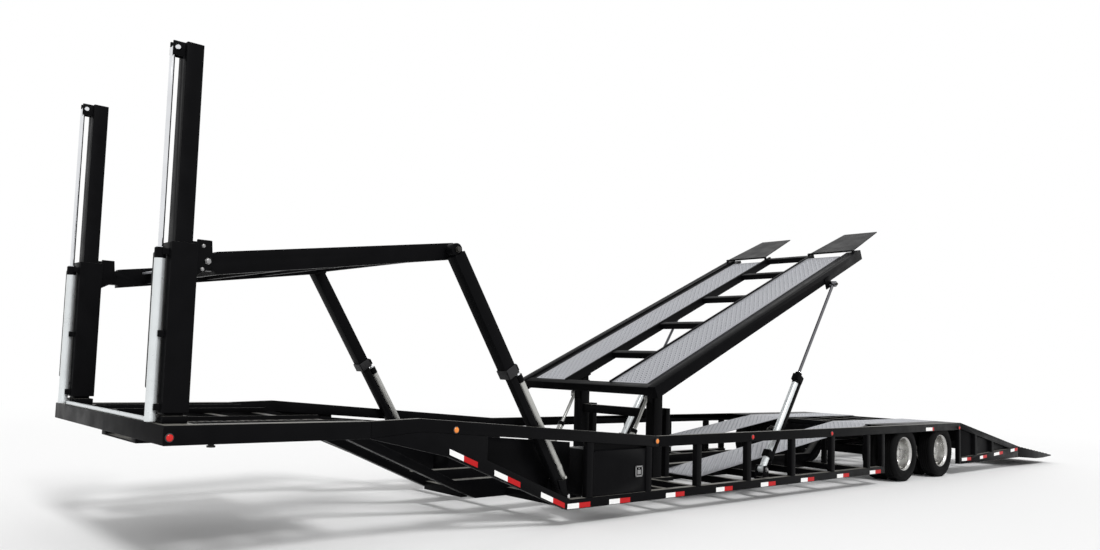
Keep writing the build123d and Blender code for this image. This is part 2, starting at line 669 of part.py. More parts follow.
with BuildPart() as tilt_rod_left:
    rod(cylinder_base, cylinder_top, (930, cylinder_length - 30), 0, cylinder_y, 19)
    cross_pin(cylinder_top[0], cylinder_top[1], (cylinder_y - 38, cylinder_y + 38), 38, sides=2 * pin_sides)
    cross_pin(cylinder_top[0], cylinder_top[1], (cylinder_y - 40, cylinder_y + 46), 18)

tilt_right = {}
for label, piece in (("tilt_barrel_right", tilt_barrel_left), ("tilt_guide_right", tilt_guide_left),
                     ("tilt_rod_right", tilt_rod_left)):
    with BuildPart() as other_side:
        mirror(piece.part, about=Plane.XZ)
    tilt_right[label] = other_side

# Lamps
amber_lamps = ((5647, 908), (3087, 736))
red_lamps = ((7990, 913), (1414, 730), (-316, 724), (-4102, 710))


def side_lamps(places):
    for x, z in places:
        cross_pin(x, z, (half_width, half_width + 16), 30)
    mirror(about=Plane.XZ)


with BuildPart() as marker_lamps_amber:
    side_lamps(amber_lamps)

tail_lamp_y = (230, 370)
with BuildPart() as marker_lamps_red:
    side_lamps(red_lamps)
    for side in (1, -1):
        block((tail_end[0] - 15, tail_end[0] + 5), sorted(side * y for y in tail_lamp_y), (230, 300))

pieces = {
    "neck_frame": neck_frame, "main_beams": main_beams, "kingpin": kingpin,
    "top_rails": top_rails, "rising_rails": rising_rails, "low_rails": low_rails, "slant_members": slant_members,
    "posts": posts, "side_panels": side_panels, "air_tank": air_tank,
    "tool_boxes": tool_boxes, "door_left": door_left, "door_right": door_right,
    "cross_members": cross_members, "pivot_feet": pivot_feet, "landing_legs": landing_legs,
    "lower_tracks": lower_tracks, "tail_frame": tail_frame, "ramp_left": ramp_left, "ramp_right": ramp_right,
    "axle_beams": axle_beams, "springs": springs, "masts": masts, "lift_rods": lift_rods,
    "carriage_left": carriage_left, "carriage_right": carriage_right,
    "lift_barrel_left": lift_barrel_left, "lift_barrel_right": lift_barrel_right,
    "upper_deck_frame": upper_deck_frame, "upper_tracks": upper_tracks, "arm_tube_left": arm_tube_left,
    "arm_barrel_left": arm_barrel_left, "arm_outer_left": arm_outer_left, "arm_rod_left": arm_rod_left,
    "stand_posts": stand_posts, "stand_cylinders": stand_cylinders, "tilt_deck_frame": tilt_deck_frame,
    "tilt_tracks": tilt_tracks, "flap_left": flap_left, "flap_right": flap_right,
    "tilt_barrel_left": tilt_barrel_left, "tilt_guide_left": tilt_guide_left, "tilt_rod_left": tilt_rod_left,
    "marker_lamps_amber": marker_lamps_amber, "marker_lamps_red": marker_lamps_red,
} | arm_right | tilt_right | wheels

os.makedirs("parts", exist_ok=True)
for label, piece in pieces.items():
    piece.part.label = label
    export_step(piece.part, f"parts/{label}.step")
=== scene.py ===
# %% [markdown]
# # Dressing a car transporter semi-trailer
# The real trailer is a long, low frame of welded black box tubes. It carries two masts with a lifting
# deck at the neck, a tilting deck in the well, and twin wheels under the tail.
# The CAD model already has those tubes, decks and joints in their true sizes. It could be drawn
# again in Blender, but then the two would drift apart, so this lesson leaves every CAD node where
# it is. It adds finishes, copies with finer edges that stand for nodes, and small pieces.

# %% Open the frame
import json
import math

import bmesh
import bpy
from mathutils import Matrix, Vector


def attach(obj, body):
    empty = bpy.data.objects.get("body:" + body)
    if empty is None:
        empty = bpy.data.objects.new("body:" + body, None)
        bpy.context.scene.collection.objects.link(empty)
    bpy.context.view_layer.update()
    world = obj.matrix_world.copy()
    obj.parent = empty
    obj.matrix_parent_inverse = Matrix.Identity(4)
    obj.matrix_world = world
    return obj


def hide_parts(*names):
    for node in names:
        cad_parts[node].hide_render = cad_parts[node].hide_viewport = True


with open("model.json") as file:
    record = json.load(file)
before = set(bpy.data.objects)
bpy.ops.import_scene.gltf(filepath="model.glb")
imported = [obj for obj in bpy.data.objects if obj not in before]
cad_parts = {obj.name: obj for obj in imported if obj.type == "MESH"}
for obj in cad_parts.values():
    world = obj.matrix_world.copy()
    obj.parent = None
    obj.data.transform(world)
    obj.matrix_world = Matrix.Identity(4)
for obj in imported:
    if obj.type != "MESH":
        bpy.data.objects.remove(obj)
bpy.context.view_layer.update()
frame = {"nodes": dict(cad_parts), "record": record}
nodes = frame["nodes"]
scene = bpy.context.scene

# %% [markdown]
# ## The camera
# The photograph was taken from 1.5 m up, in front of the trailer and to its left. The place,
# the turn and the lens were solved from known points, such as corners and tape strips, and are
# written here as plain numbers. Aiming by eye would be quicker, but long straight rails show the
# smallest error in perspective. A small shift stands in for the way the picture was cropped.

# %% Place the camera
CAMERA_PLACE = Vector((10.0942, 6.9132, 1.4706))
CAMERA_YAW, CAMERA_PITCH, CAMERA_ROLL = -2.2635, 0.0757, 0.0342
LENS, SENSOR = 28.595, 36.0
SHIFT = (0.0627, 0.0182)
FAR_LIMIT = 200

ahead = Vector((math.cos(CAMERA_PITCH) * math.cos(CAMERA_YAW),
                math.cos(CAMERA_PITCH) * math.sin(CAMERA_YAW),
                math.sin(CAMERA_PITCH)))
level_right = ahead.cross(Vector((0, 0, 1))).normalized()
level_up = level_right.cross(ahead)
right = level_right * math.cos(CAMERA_ROLL) + level_up * math.sin(CAMERA_ROLL)
up = level_up * math.cos(CAMERA_ROLL) - level_right * math.sin(CAMERA_ROLL)

camera_data = bpy.data.cameras.new("photo_camera")
camera_data.lens = LENS
camera_data.sensor_width = SENSOR
camera_data.shift_x, camera_data.shift_y = SHIFT
camera_data.clip_end = FAR_LIMIT
camera = bpy.data.objects.new("photo_camera", camera_data)
scene.collection.objects.link(camera)
camera_turn = Matrix((right, up, -ahead)).transposed().to_4x4()
camera.matrix_world = Matrix.Translation(CAMERA_PLACE) @ camera_turn
scene.camera = camera
print("camera looks along", [round(part, 3) for part in ahead])

# %% [markdown]
# ## Light and floor
# The photograph has flat daylight on a white ground. One way is a white room of area lamps, but a
# world that lights evenly and one wide sun give the same look with fewer parts. The world, and the
# floor far from the trailer, turn pure white only for what the camera sees, for reflections and
# for clear plastic. Their light on the paint stays at a plain level.

# %% Light the scene
SKY_STRENGTH = 0.75
SUN_STRENGTH = 1.6
SUN_ANGLE = math.radians(14)
SUN_AIM = (math.radians(38), math.radians(12), math.radians(150))
FLOOR_GREY, FLOOR_ROUGH, FLOOR_GLOSS = 0.85, 0.9, 0.1


def seen_directly(tree):
    """1 for camera, glossy and transmission rays, and 0 for light that falls on things."""
    path = tree.nodes.new("ShaderNodeLightPath")
    total = None
    for name in ("Is Camera Ray", "Is Glossy Ray", "Is Transmission Ray"):
        if total is None:
            total = path.outputs[name]
            continue
        add = tree.nodes.new("ShaderNodeMath")
        add.operation = "MAXIMUM"
        tree.links.new(total, add.inputs[0])
        tree.links.new(path.outputs[name], add.inputs[1])
        total = add.outputs[0]
    return total


world = bpy.data.worlds.new("white_studio")
scene.world = world
world.use_nodes = True
tree = world.node_tree
background = tree.nodes["Background"]
strength = tree.nodes.new("ShaderNodeMapRange")
strength.inputs["To Min"].default_value = SKY_STRENGTH
strength.inputs["To Max"].default_value = 1.0
background.inputs["Color"].default_value = (1, 1, 1, 1)
tree.links.new(seen_directly(tree), strength.inputs["Value"])
tree.links.new(strength.outputs["Result"], background.inputs["Strength"])

sun_data = bpy.data.lights.new("soft_sun", "SUN")
sun_data.energy = SUN_STRENGTH
sun_data.angle = SUN_ANGLE
sun = bpy.data.objects.new("soft_sun", sun_data)
sun.rotation_euler = SUN_AIM
scene.collection.objects.link(sun)
scene.view_settings.view_transform = "Standard"
print("sun of strength", SUN_STRENGTH, "over a sky of", SKY_STRENGTH)

# %% Lay the floor
FLOOR_REACH = 60.0
FADE = (10.0, 18.0)
floor_mesh = bpy.data.meshes.new("floor")
corners = [(x, y, 0) for x, y in ((-1, -1), (1, -1), (1, 1), (-1, 1))]
floor_mesh.from_pydata([(x * FLOOR_REACH, y * FLOOR_REACH, z) for x, y, z in corners], [], [(0, 1, 2, 3)])
floor = bpy.data.objects.new("floor", floor_mesh)
scene.collection.objects.link(floor)

pale = bpy.data.materials.new("pale_floor")
pale.use_nodes = True
tree = pale.node_tree
paint = tree.nodes["Principled BSDF"]
paint.inputs["Base Color"].default_value = (FLOOR_GREY, FLOOR_GREY, FLOOR_GREY, 1)
paint.inputs["Roughness"].default_value = FLOOR_ROUGH
paint.inputs["Specular IOR Level"].default_value = FLOOR_GLOSS
reach = tree.nodes.new("ShaderNodeVectorMath")
reach.operation = "LENGTH"
tree.links.new(tree.nodes.new("ShaderNodeTexCoord").outputs["Object"], reach.inputs[0])
far = tree.nodes.new("ShaderNodeMapRange")
far.interpolation_type = "SMOOTHSTEP"
far.inputs["From Min"].default_value, far.inputs["From Max"].default_value = FADE
tree.links.new(reach.outputs["Value"], far.inputs["Value"])
share = tree.nodes.new("ShaderNodeMath")
share.operation = "MULTIPLY"
tree.links.new(far.outputs["Result"], share.inputs[0])
tree.links.new(seen_directly(tree), share.inputs[1])
blend, white = tree.nodes.new("ShaderNodeMixShader"), tree.nodes.new("ShaderNodeEmission")
tree.links.new(share.outputs["Value"], blend.inputs["Fac"])
tree.links.new(paint.outputs["BSDF"], blend.inputs[1])
tree.links.new(white.outputs["Emission"], blend.inputs[2])
tree.links.new(blend.outputs["Shader"], tree.nodes["Material Output"].inputs["Surface"])
floor_mesh.materials.append(pale)
print("floor", 2 * FLOOR_REACH, "m square")

# %% [markdown]
# ## Finishes
# A sprayed steel frame is never one flat colour: the paint has a faint orange peel, and dust dulls
# it in patches. Level tops turn lighter, which stands for settled dust and is also a painted
# highlight on the tops. Photographs could be wrapped round the parts, but node patterns need no
# pictures and stay sharp close up. Every pattern here reads Object coordinates in metres, so it
# stays on its part when a joint moves.

# %% A helper for finishes
# The lighter colour on level tops stands for dust and is also a painted highlight.
DUST_AND_HIGHLIGHT = (0.34, 0.33, 0.30, 1)
LEVEL_TOPS = (0.93, 0.985)
PATCH_DETAIL, PATCH_SPREAD = 6.0, (0.3, 0.7)
GRAIN_SCALE, GRAIN_DEPTH = 400.0, 0.001


def finish(name, colour, metallic, roughness, patch=0.08, patch_scale=6.0, shade=0.12, grain=0.0,
           dust_and_highlight=0.0, gloss=0.5):
    """A material whose roughness and shade wander in patches, with a fine grain, and level tops lighter for
    dust and for a painted highlight.
    """
    material = bpy.data.materials.new(name)
    material.use_nodes = True
    tree = material.node_tree
    make, link = tree.nodes.new, tree.links.new
    shader = tree.nodes["Principled BSDF"]
    shader.inputs["Metallic"].default_value = metallic
    shader.inputs["Specular IOR Level"].default_value = gloss
    place = make("ShaderNodeTexCoord")
    patches = make("ShaderNodeTexNoise")
    patches.inputs["Scale"].default_value = patch_scale
    patches.inputs["Detail"].default_value = PATCH_DETAIL
    link(place.outputs["Object"], patches.inputs["Vector"])
    dull = make("ShaderNodeMapRange")
    dull.inputs["From Min"].default_value, dull.inputs["From Max"].default_value = PATCH_SPREAD
    dull.inputs["To Min"].default_value = roughness - patch
    dull.inputs["To Max"].default_value = roughness + patch
    link(patches.outputs["Fac"], dull.inputs["Value"])
    link(dull.outputs["Result"], shader.inputs["Roughness"])
    tone = make("ShaderNodeMix")
    tone.data_type = "RGBA"
    for socket, factor in (("A", 1 - shade), ("B", 1 + shade)):
        tone.inputs[socket].default_value = tuple(min(1.0, part * factor) for part in colour) + (1,)
    link(patches.outputs["Fac"], tone.inputs["Factor"])
    colour_out = tone.outputs["Result"]
    # Level tops turn towards a lighter colour: settled dust, and also a painted highlight on the tops.
    if dust_and_highlight:
        split = make("ShaderNodeSeparateXYZ")
        link(place.outputs["Normal"], split.inputs["Vector"])
        level = make("ShaderNodeMapRange")
        level.inputs["From Min"].default_value, level.inputs["From Max"].default_value = LEVEL_TOPS
        level.inputs["To Max"].default_value = dust_and_highlight
        link(split.outputs["Z"], level.inputs["Value"])
        lightening = make("ShaderNodeMath")
        lightening.operation = "MULTIPLY"
        link(level.outputs["Result"], lightening.inputs[0])
        link(patches.outputs["Fac"], lightening.inputs[1])
        lightened_tops = make("ShaderNodeMix")
        lightened_tops.data_type = "RGBA"
        lightened_tops.inputs["B"].default_value = DUST_AND_HIGHLIGHT
        link(lightening.outputs["Value"], lightened_tops.inputs["Factor"])
        link(colour_out, lightened_tops.inputs["A"])
        colour_out = lightened_tops.outputs["Result"]
    link(colour_out, shader.inputs["Base Color"])
    if grain:
        fine = make("ShaderNodeTexNoise")
        fine.inputs["Scale"].default_value = GRAIN_SCALE
        link(place.outputs["Object"], fine.inputs["Vector"])
        bump = make("ShaderNodeBump")
        bump.inputs["Strength"].default_value = grain
        bump.inputs["Distance"].default_value = GRAIN_DEPTH
        link(fine.outputs["Fac"], bump.inputs["Height"])
        link(bump.outputs["Normal"], shader.inputs["Normal"])
    return material


# %% Mix the finishes
# The numbers after each colour are how metallic and how rough it is.
finishes = {
    "black_paint": finish("black_paint", (0.004, 0.004, 0.0045), 0.0, 0.36, shade=0.3, grain=0.12,
                          dust_and_highlight=0.9, gloss=0.025),
    "box_black": finish("box_black", (0.004, 0.004, 0.0045), 0.0, 0.34, patch=0.06, shade=0.3, grain=0.1,
                        gloss=0.025),
    "dark_chrome": finish("dark_chrome", (0.16, 0.16, 0.17), 1.0, 0.16, patch=0.06),
    "dull_silver": finish("dull_silver", (0.42, 0.42, 0.40), 0.5, 0.40, patch=0.1, grain=0.08),
    "greased_steel": finish("greased_steel", (0.03, 0.028, 0.025), 0.3, 0.30, patch=0.1, shade=0.3),
    "worn_black": finish("worn_black", (0.022, 0.022, 0.023), 0.2, 0.4, patch=0.1, shade=0.5, grain=0.15,
                         gloss=0.15),
    "silver_paint": finish("silver_paint", (0.68, 0.71, 0.72), 0.40, 0.32, grain=0.05),
    "chrome": finish("chrome", (0.75, 0.76, 0.78), 1.0, 0.12, patch=0.06),
    "bare_steel": finish("bare_steel", (0.30, 0.30, 0.30), 1.0, 0.38, patch=0.1, grain=0.1),
    "tread_plate": finish("tread_plate", (0.34, 0.345, 0.37), 0.55, 0.45, patch=0.1, patch_scale=3.0,
                          grain=0.1),
    "polished_alloy": finish("polished_alloy", (0.52, 0.515, 0.50), 1.0, 0.24),
    "tyre": finish("tyre", (0.005, 0.005, 0.0052), 0.0, 0.70, patch=0.1, shade=0.25, grain=0.3, gloss=0.05),
    "amber_lens": finish("amber_lens", (0.85, 0.25, 0.03), 0.0, 0.2, patch=0.05),
    "red_lens": finish("red_lens", (0.55, 0.012, 0.010), 0.0, 0.2, patch=0.05, gloss=0.3),
    "galvanised": finish("galvanised", (0.46, 0.47, 0.50), 0.6, 0.42, patch=0.1, patch_scale=9.0, grain=0.1),
    "cast_iron": finish("cast_iron", (0.07, 0.07, 0.072), 0.4, 0.6, patch=0.1, shade=0.3, grain=0.4),
    # Painted shade: a near-black finish for discs that stand where the holes would be.
    "dark_gap": finish("dark_gap", (0.004, 0.004, 0.004), 0.0, 0.8, patch=0.05, shade=0.2, gloss=0.02),
    "white_tape": finish("white_tape", (0.86, 0.86, 0.85), 0.0, 0.3, patch=0.06, shade=0.06),
    "red_tape": finish("red_tape", (0.46, 0.008, 0.010), 0.0, 0.4, patch=0.06, shade=0.1, gloss=0.15),
    "black_rubber": finish("black_rubber", (0.02, 0.02, 0.02), 0.0, 0.6, patch=0.1, shade=0.2, grain=0.2),
}
slot_of = {row["node"]: row["material_slot"] for row in frame["record"]["subparts"]}
for name, node in nodes.items():
    node.data.materials.clear()
    node.data.materials.append(finishes[slot_of[name]])
print(len(finishes), "finishes on", len(nodes), "nodes")

# %% [markdown]
# ## Keeping a piece
# Every shown piece moves with one CAD body and hides the CAD nodes it stands for, if any. One
# small helper does both, so no piece can be forgotten half way. Round forms get smooth shading
# with sharp edges kept by angle.

# %% Helpers for pieces
SHARP = math.radians(38)
body_of = {name: body for body, members in frame["record"]["behaviour"]["bodies"].items() for name in members}


def keep(obj, body, stands_for=()):
    """Let a finished piece ride on a body and hide the CAD nodes it stands for."""
    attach(obj, body)
    if stands_for:
        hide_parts(*stands_for)
    return obj


def new_piece(name, points, faces, finish_name):
    """An object from points and faces, in one finish or in none."""
    mesh = bpy.data.meshes.new(name)
    mesh.from_pydata(points, [], faces)
    if finish_name:
        mesh.materials.append(finishes[finish_name])
    obj = bpy.data.objects.new(name, mesh)
    scene.collection.objects.link(obj)
    return obj


def face_outwards(mesh):
    """Turn every face of a closed shape to look outwards."""
    shape = bmesh.new()
    shape.from_mesh(mesh)
    bmesh.ops.recalc_face_normals(shape, faces=shape.faces)
    shape.to_mesh(mesh)
    shape.free()


def soften(mesh):
    """Shade a mesh smoothly and keep its sharp edges sharp."""
    mesh.polygons.foreach_set("use_smooth", [True] * len(mesh.polygons))
    mesh.set_sharp_from_angle(angle=SHARP)


def plain(obj):
    """The evaluated shape as an ordinary mesh, with the modifiers gone."""
    bpy.context.view_layer.update()
    evaluated = obj.evaluated_get(bpy.context.evaluated_depsgraph_get())
    mesh = bpy.data.meshes.new_from_object(evaluated)
    mesh.name = obj.name
    obj.modifiers.clear()
    obj.data = mesh
    return obj


def joined(name, parts, finish_name):
    """Several pieces as one mesh of one finish."""
    shape = bmesh.new()
    for part in parts:
        shape.from_mesh(part.data)
    mesh = bpy.data.meshes.new(name)
    for face in shape.faces:
        face.material_index = 0
    mesh.materials.append(finishes[finish_name])
    shape.to_mesh(mesh)
    shape.free()
    for part in parts:
        bpy.data.objects.remove(part)
    obj = bpy.data.objects.new(name, mesh)
    scene.collection.objects.link(obj)
    return obj


# %% [markdown]
# ## Rolled edges
# Box tube has round corners, because it is rolled from strip, and cut plate has a small broken edge.
# Light runs along those corners, and without them a black frame looks like card. Each corner
# could be modelled by hand, but a Bevel modifier on a merged copy of the CAD tube finds all
# edges by their angle, and the copy stands for the node.

# %% Roll the edges of tubes and plates
TUBE_EDGE, PLATE_EDGE = 0.006, 0.002
BEVEL_ANGLE = math.radians(42)
FLAT = math.radians(0.5)
MERGE = 1e-5
special = {name: "box_black" for name in ("tool_boxes", "door_left", "door_right", "side_panels", "flap_left",
                                          "flap_right", "ramp_left", "ramp_right", "tilt_deck_frame")}
special |= {name: "dark_chrome" for name in ("tilt_rod_left", "tilt_rod_right")}
special |= {name: "dull_silver" for name in ("arm_barrel_left", "arm_barrel_right", "stand_cylinders")}
special["kingpin"] = "greased_steel"


def rolled(name, width):
    """A merged copy of a CAD node with round edges, standing for that node."""
    mesh = nodes[name].data.copy()
    shape = bmesh.new()
    shape.from_mesh(mesh)
    bmesh.ops.remove_doubles(shape, verts=shape.verts, dist=MERGE)
    bmesh.ops.dissolve_limit(shape, angle_limit=FLAT, verts=shape.verts, edges=shape.edges)
    shape.to_mesh(mesh)
    shape.free()
    obj = bpy.data.objects.new(f"{name}_rolled", mesh)
    scene.collection.objects.link(obj)
    bevel = obj.modifiers.new("rolled_edges", "BEVEL")
    bevel.width = width
    bevel.segments = 2
    bevel.limit_method = "ANGLE"
    bevel.angle_limit = BEVEL_ANGLE
    plain(obj)
    soften(obj.data)
    obj.data.materials.clear()
    obj.data.materials.append(finishes[special.get(name, slot_of[name])])
    return keep(obj, body_of[name], (name,))


tubes = ("neck_frame", "main_beams", "top_rails", "rising_rails", "low_rails", "slant_members", "posts",
         "cross_members", "landing_legs", "masts", "stand_posts", "arm_tube_left", "arm_tube_right",
         "arm_outer_left", "arm_outer_right", "carriage_left", "carriage_right", "upper_deck_frame",
         "tilt_deck_frame", "tilt_guide_left", "tilt_guide_right", "tail_frame", "axle_beams", "air_tank")
plates = ("side_panels", "tool_boxes", "door_left", "door_right", "pivot_feet", "ramp_left", "ramp_right",
          "springs", "kingpin", "lift_rods", "upper_tracks", "tilt_tracks", "flap_left",
          "flap_right", "stand_cylinders", "arm_barrel_left", "arm_barrel_right", "tilt_barrel_left",
          "tilt_barrel_right", "arm_rod_left", "arm_rod_right", "tilt_rod_left", "tilt_rod_right")
for names, width in ((tubes, TUBE_EDGE), (plates, PLATE_EDGE)):
    for name in names:
        rolled(name, width)
print("edges rolled on", len(tubes) + len(plates), "nodes")

# %% [markdown]
# ## Turned pieces
# Tyres, rims and cylinder barrels are turned round a line. A Screw modifier would do, but many of
# these lines are slanted, so a helper that turns pairs of distance and radius round any line is
# simpler. A profile that starts and ends on the line gives a solid, and any other gives a ring.

# %% A helper for turned pieces
TINY = 1e-6


def turned(name, start, line, profile, finish_name, segments=64):
    """Turn pairs of distance and radius round a line."""
    start, line = Vector(start), Vector(line).normalized()
    side = line.orthogonal().normalized()
    other = line.cross(side)
    points, rings = [], []
    for distance, radius in profile:
        centre = start + line * distance
        if radius < TINY:
            rings.append([len(points)] * segments)
            points.append(centre)
            continue
        rings.append(range(len(points), len(points) + segments))
        for number in range(segments):
            angle = 2 * math.pi * number / segments
            points.append(centre + (side * math.cos(angle) + other * math.sin(angle)) * radius)
    pairs = list(zip(rings, rings[1:]))
    if profile[0][1] > TINY:
        pairs.append((rings[-1], rings[0]))
    faces = []
    for first, second in pairs:
        for number in range(segments):
            after = (number + 1) % segments
            corners = (first[number], first[after], second[after], second[number])
            faces.append(tuple(dict.fromkeys(corners)))
    obj = new_piece(name, points, faces, finish_name)
    face_outwards(obj.data)
    soften(obj.data)
    return obj


# %% [markdown]
# ## Stamping small things
# Nuts, bolts, lenses and the raised holes of the wheel tracks are one small shape, many times over.
# Copying them by hand is slow and an array only follows a straight line, so one Geometry Nodes
# tree puts a stamp on every point of a mesh. Each point says which way its stamp faces and how
# it is turned. The tree ends in real geometry, because an export drops instances.

# %% Build the stamping tree
def open_tree(name, inputs):
    """A new Geometry Nodes tree with these inputs, and the names that a modifier needs for them."""
    tree = bpy.data.node_groups.new(name, "GeometryNodeTree")
    sockets = {}
    for label, kind in inputs:
        socket = tree.interface.new_socket(label, in_out="INPUT", socket_type=f"NodeSocket{kind}")
        sockets[label] = socket.identifier
    tree.interface.new_socket("Geometry", in_out="OUTPUT", socket_type="NodeSocketGeometry")
    return tree, sockets


def stamping_tree():
    """A tree that puts one stamp on every point, turned by two attributes."""
    tree, sockets = open_tree("stamp_on_points", (("Points", "Geometry"), ("Stamp", "Object"),
                                                  ("Scale", "Float"), ("Finish", "Material")))
    make = tree.nodes.new
    given, result = make("NodeGroupInput"), make("NodeGroupOutput")
    stamp = make("GeometryNodeObjectInfo")
    place = make("GeometryNodeInstanceOnPoints")
    turns = []
    for attribute, axis in (("facing", "Z"), ("along", "X")):
        vector = make("GeometryNodeInputNamedAttribute")
        vector.data_type = "FLOAT_VECTOR"
        vector.inputs["Name"].default_value = attribute
        turn = make("FunctionNodeAlignRotationToVector")
        turn.axis = axis
        turn.pivot_axis = "AUTO" if axis == "Z" else "Z"
        tree.links.new(vector.outputs["Attribute"], turn.inputs["Vector"])
        if turns:
            tree.links.new(turns[-1].outputs["Rotation"], turn.inputs["Rotation"])
        turns.append(turn)
    realize, paint = make("GeometryNodeRealizeInstances"), make("GeometryNodeSetMaterial")
    for source, target in ((given.outputs["Points"], place.inputs["Points"]),
                           (given.outputs["Stamp"], stamp.inputs["Object"]),
                           (stamp.outputs["Geometry"], place.inputs["Instance"]),
                           (turns[-1].outputs["Rotation"], place.inputs["Rotation"]),
                           (given.outputs["Scale"], place.inputs["Scale"]),
                           (place.outputs["Instances"], realize.inputs["Geometry"]),
                           (realize.outputs["Geometry"], paint.inputs["Geometry"]),
                           (given.outputs["Finish"], paint.inputs["Material"]),
                           (paint.outputs["Geometry"], result.inputs["Geometry"])):
        tree.links.new(source, target)
    return tree, sockets


stamping, stamp_sockets = stamping_tree()
print("stamping tree of", len(stamping.nodes), "nodes")


def stamped(name, stamp, places, finish_name, scale=1.0):
    """One stamp on every place, each a point, a facing and a direction along it."""
    obj = new_piece(name, [place[0] for place in places], [], None)
    for label, column in (("facing", 1), ("along", 2)):
        attribute = obj.data.attributes.new(label, "FLOAT_VECTOR", "POINT")
        attribute.data.foreach_set("vector", [part for place in places for part in place[column]])
    modifier = obj.modifiers.new("stamps", "NODES")
    modifier.node_group = stamping
    modifier[stamp_sockets["Stamp"]] = stamp
    modifier[stamp_sockets["Scale"]] = scale
    modifier[stamp_sockets["Finish"]] = finishes[finish_name]
    plain(obj)
    soften(obj.data)
    print(name, len(places), "stamps,", len(obj.data.polygons), "faces")
    return obj


# %% Cut the stamps
UP = (0, 0, 1)
ORIGIN = (0, 0, 0)


def cylinder_stamp(name, profile, sides):
    """A small turned shape that is stamped, and never shown itself."""
    stamp = turned(name, ORIGIN, UP, profile, "bare_steel", sides)
    stamp.hide_render = True
    return stamp


bolt_stamp = cylinder_stamp("bolt_stamp", ((0, 0), (0, 0.018), (0.003, 0.018), (0.003, 0.014),
                                           (0.012, 0.014), (0.014, 0.011), (0.014, 0)), sides=6)
nut_stamp = cylinder_stamp("nut_stamp", ((0, 0), (0, 0.0185), (0.020, 0.0185), (0.023, 0.013), (0.023, 0.010),
                                         (0.034, 0.010), (0.036, 0.008), (0.036, 0)), sides=6)
boss_stamp = cylinder_stamp("boss_stamp", ((0, 0.021), (0.0035, 0.017), (0.0035, 0.013),
                                           (0.0005, 0.012)), sides=10)
# A thin disc in painted shade, put where the bottom of a hole would be.
hole_stamp = cylinder_stamp("hole_stamp", ((0, 0), (0, 0.0125), (0.0009, 0.0125), (0.0009, 0)), sides=10)
lens_stamp = cylinder_stamp("lens_stamp", ((0, 0), (0, 0.024), (0.008, 0.024), (0.012, 0.020),
                                           (0.0148, 0.012), (0.0158, 0)), sides=24)
bezel_stamp = cylinder_stamp("bezel_stamp", ((0, 0.024), (0, 0.0298), (0.006, 0.0298),
                                             (0.010, 0.0245)), sides=24)
stamps = [bolt_stamp, nut_stamp, boss_stamp, hole_stamp, lens_stamp, bezel_stamp]
print(len(stamps), "stamps cut")

# %% [markdown]
# ## Tyres and rims
# The trailer runs on twin low tyres with four plain grooves, on deep polished rims. Sculpting is not
# needed for a shape that follows a rule: the whole section of a tyre is one list of points,
# grooves and all, and so is the section of a rim from its hub cap to its lips.

# %% Draw the tyre's section
AXLES = {"front": -2.404, "rear": -3.576}
SIDES = {"left": 1, "right": -1}
WHEEL_RADIUS, OUTER_Y, TWIN_Y = 0.383, 1.1625, 0.9075
GROOVES = (-0.045, -0.015, 0.015, 0.045)
GROOVE_HALF, GROOVE_RADIUS, TREAD_RADIUS = 0.0048, 0.3745, 0.3826
WALL = ((0.074, 0.2225), (0.080, 0.236), (0.090, 0.247), (0.098, 0.268), (0.1018, 0.296),
        (0.1008, 0.322), (0.0975, 0.333), (0.0985, 0.336), (0.0945, 0.350), (0.0905, 0.360),
        (0.0850, 0.3705), (0.0780, 0.3790), (0.0715, 0.3818))
tread = []
for groove in GROOVES:
    tread += [(groove - GROOVE_HALF - 0.001, TREAD_RADIUS), (groove - GROOVE_HALF, GROOVE_RADIUS),
              (groove + GROOVE_HALF, GROOVE_RADIUS), (groove + GROOVE_HALF + 0.001, TREAD_RADIUS)]
section = [(-y, radius) for y, radius in WALL] + tread + list(reversed(WALL))
print("tyre section of", len(section), "points")

# %% Turn the tyres
WHEEL_SEGMENTS = 96
BLOCK_FACES = [(0, 2, 3, 1), (4, 5, 7, 6), (0, 1, 5, 4), (2, 6, 7, 3), (0, 4, 6, 2), (1, 3, 7, 5)]
LUGS_ROUND = 60
LUG_Y, LUG_RADIUS, LUG_LEAN = 0.0868, 0.3668, 1.2
LUG_SIZE = Vector((0.009, 0.005, 0.0015))


def block_points(low, high):
    """The eight corners of a block, in the order of BLOCK_FACES."""
    return [(x, y, z) for z in (low[2], high[2]) for y in (low[1], high[1]) for x in (low[0], high[0])]


def shoulder_lugs(x, y):
    """Places for the small lugs round both shoulders of one tyre."""
    places = []
    for edge in (-1, 1):
        for number in range(LUGS_ROUND):
            angle = 2 * math.pi * number / LUGS_ROUND
            out = Vector((math.cos(angle), 0, math.sin(angle)))
            facing = (out + Vector((0, edge * LUG_LEAN, 0))).normalized()
            point = Vector((x, y + edge * LUG_Y, WHEEL_RADIUS)) + out * LUG_RADIUS
            places.append((point, facing, Vector((0, 1, 0)).cross(out)))
    return places


lug_stamp = new_piece("lug_stamp", block_points(-LUG_SIZE, LUG_SIZE), BLOCK_FACES, "tyre")
stamps.append(lug_stamp)
for axle, x in AXLES.items():
    for side, sign in SIDES.items():
        wheel = f"{axle}_{side}"
        parts = [turned(f"tyre_{y}", (x, sign * y, WHEEL_RADIUS), (0, 1, 0), section, "tyre",
                        WHEEL_SEGMENTS) for y in (OUTER_Y, TWIN_Y)]
        lugs = shoulder_lugs(x, sign * OUTER_Y) + shoulder_lugs(x, sign * TWIN_Y)
        parts.append(stamped(f"lugs_{wheel}", lug_stamp, lugs, "tyre"))
        keep(joined(f"twin_tyres_{wheel}", parts, "tyre"), f"wheel_{wheel}", (f"tyres_{wheel}",))
print(len(AXLES) * len(SIDES), "pairs of tyres")

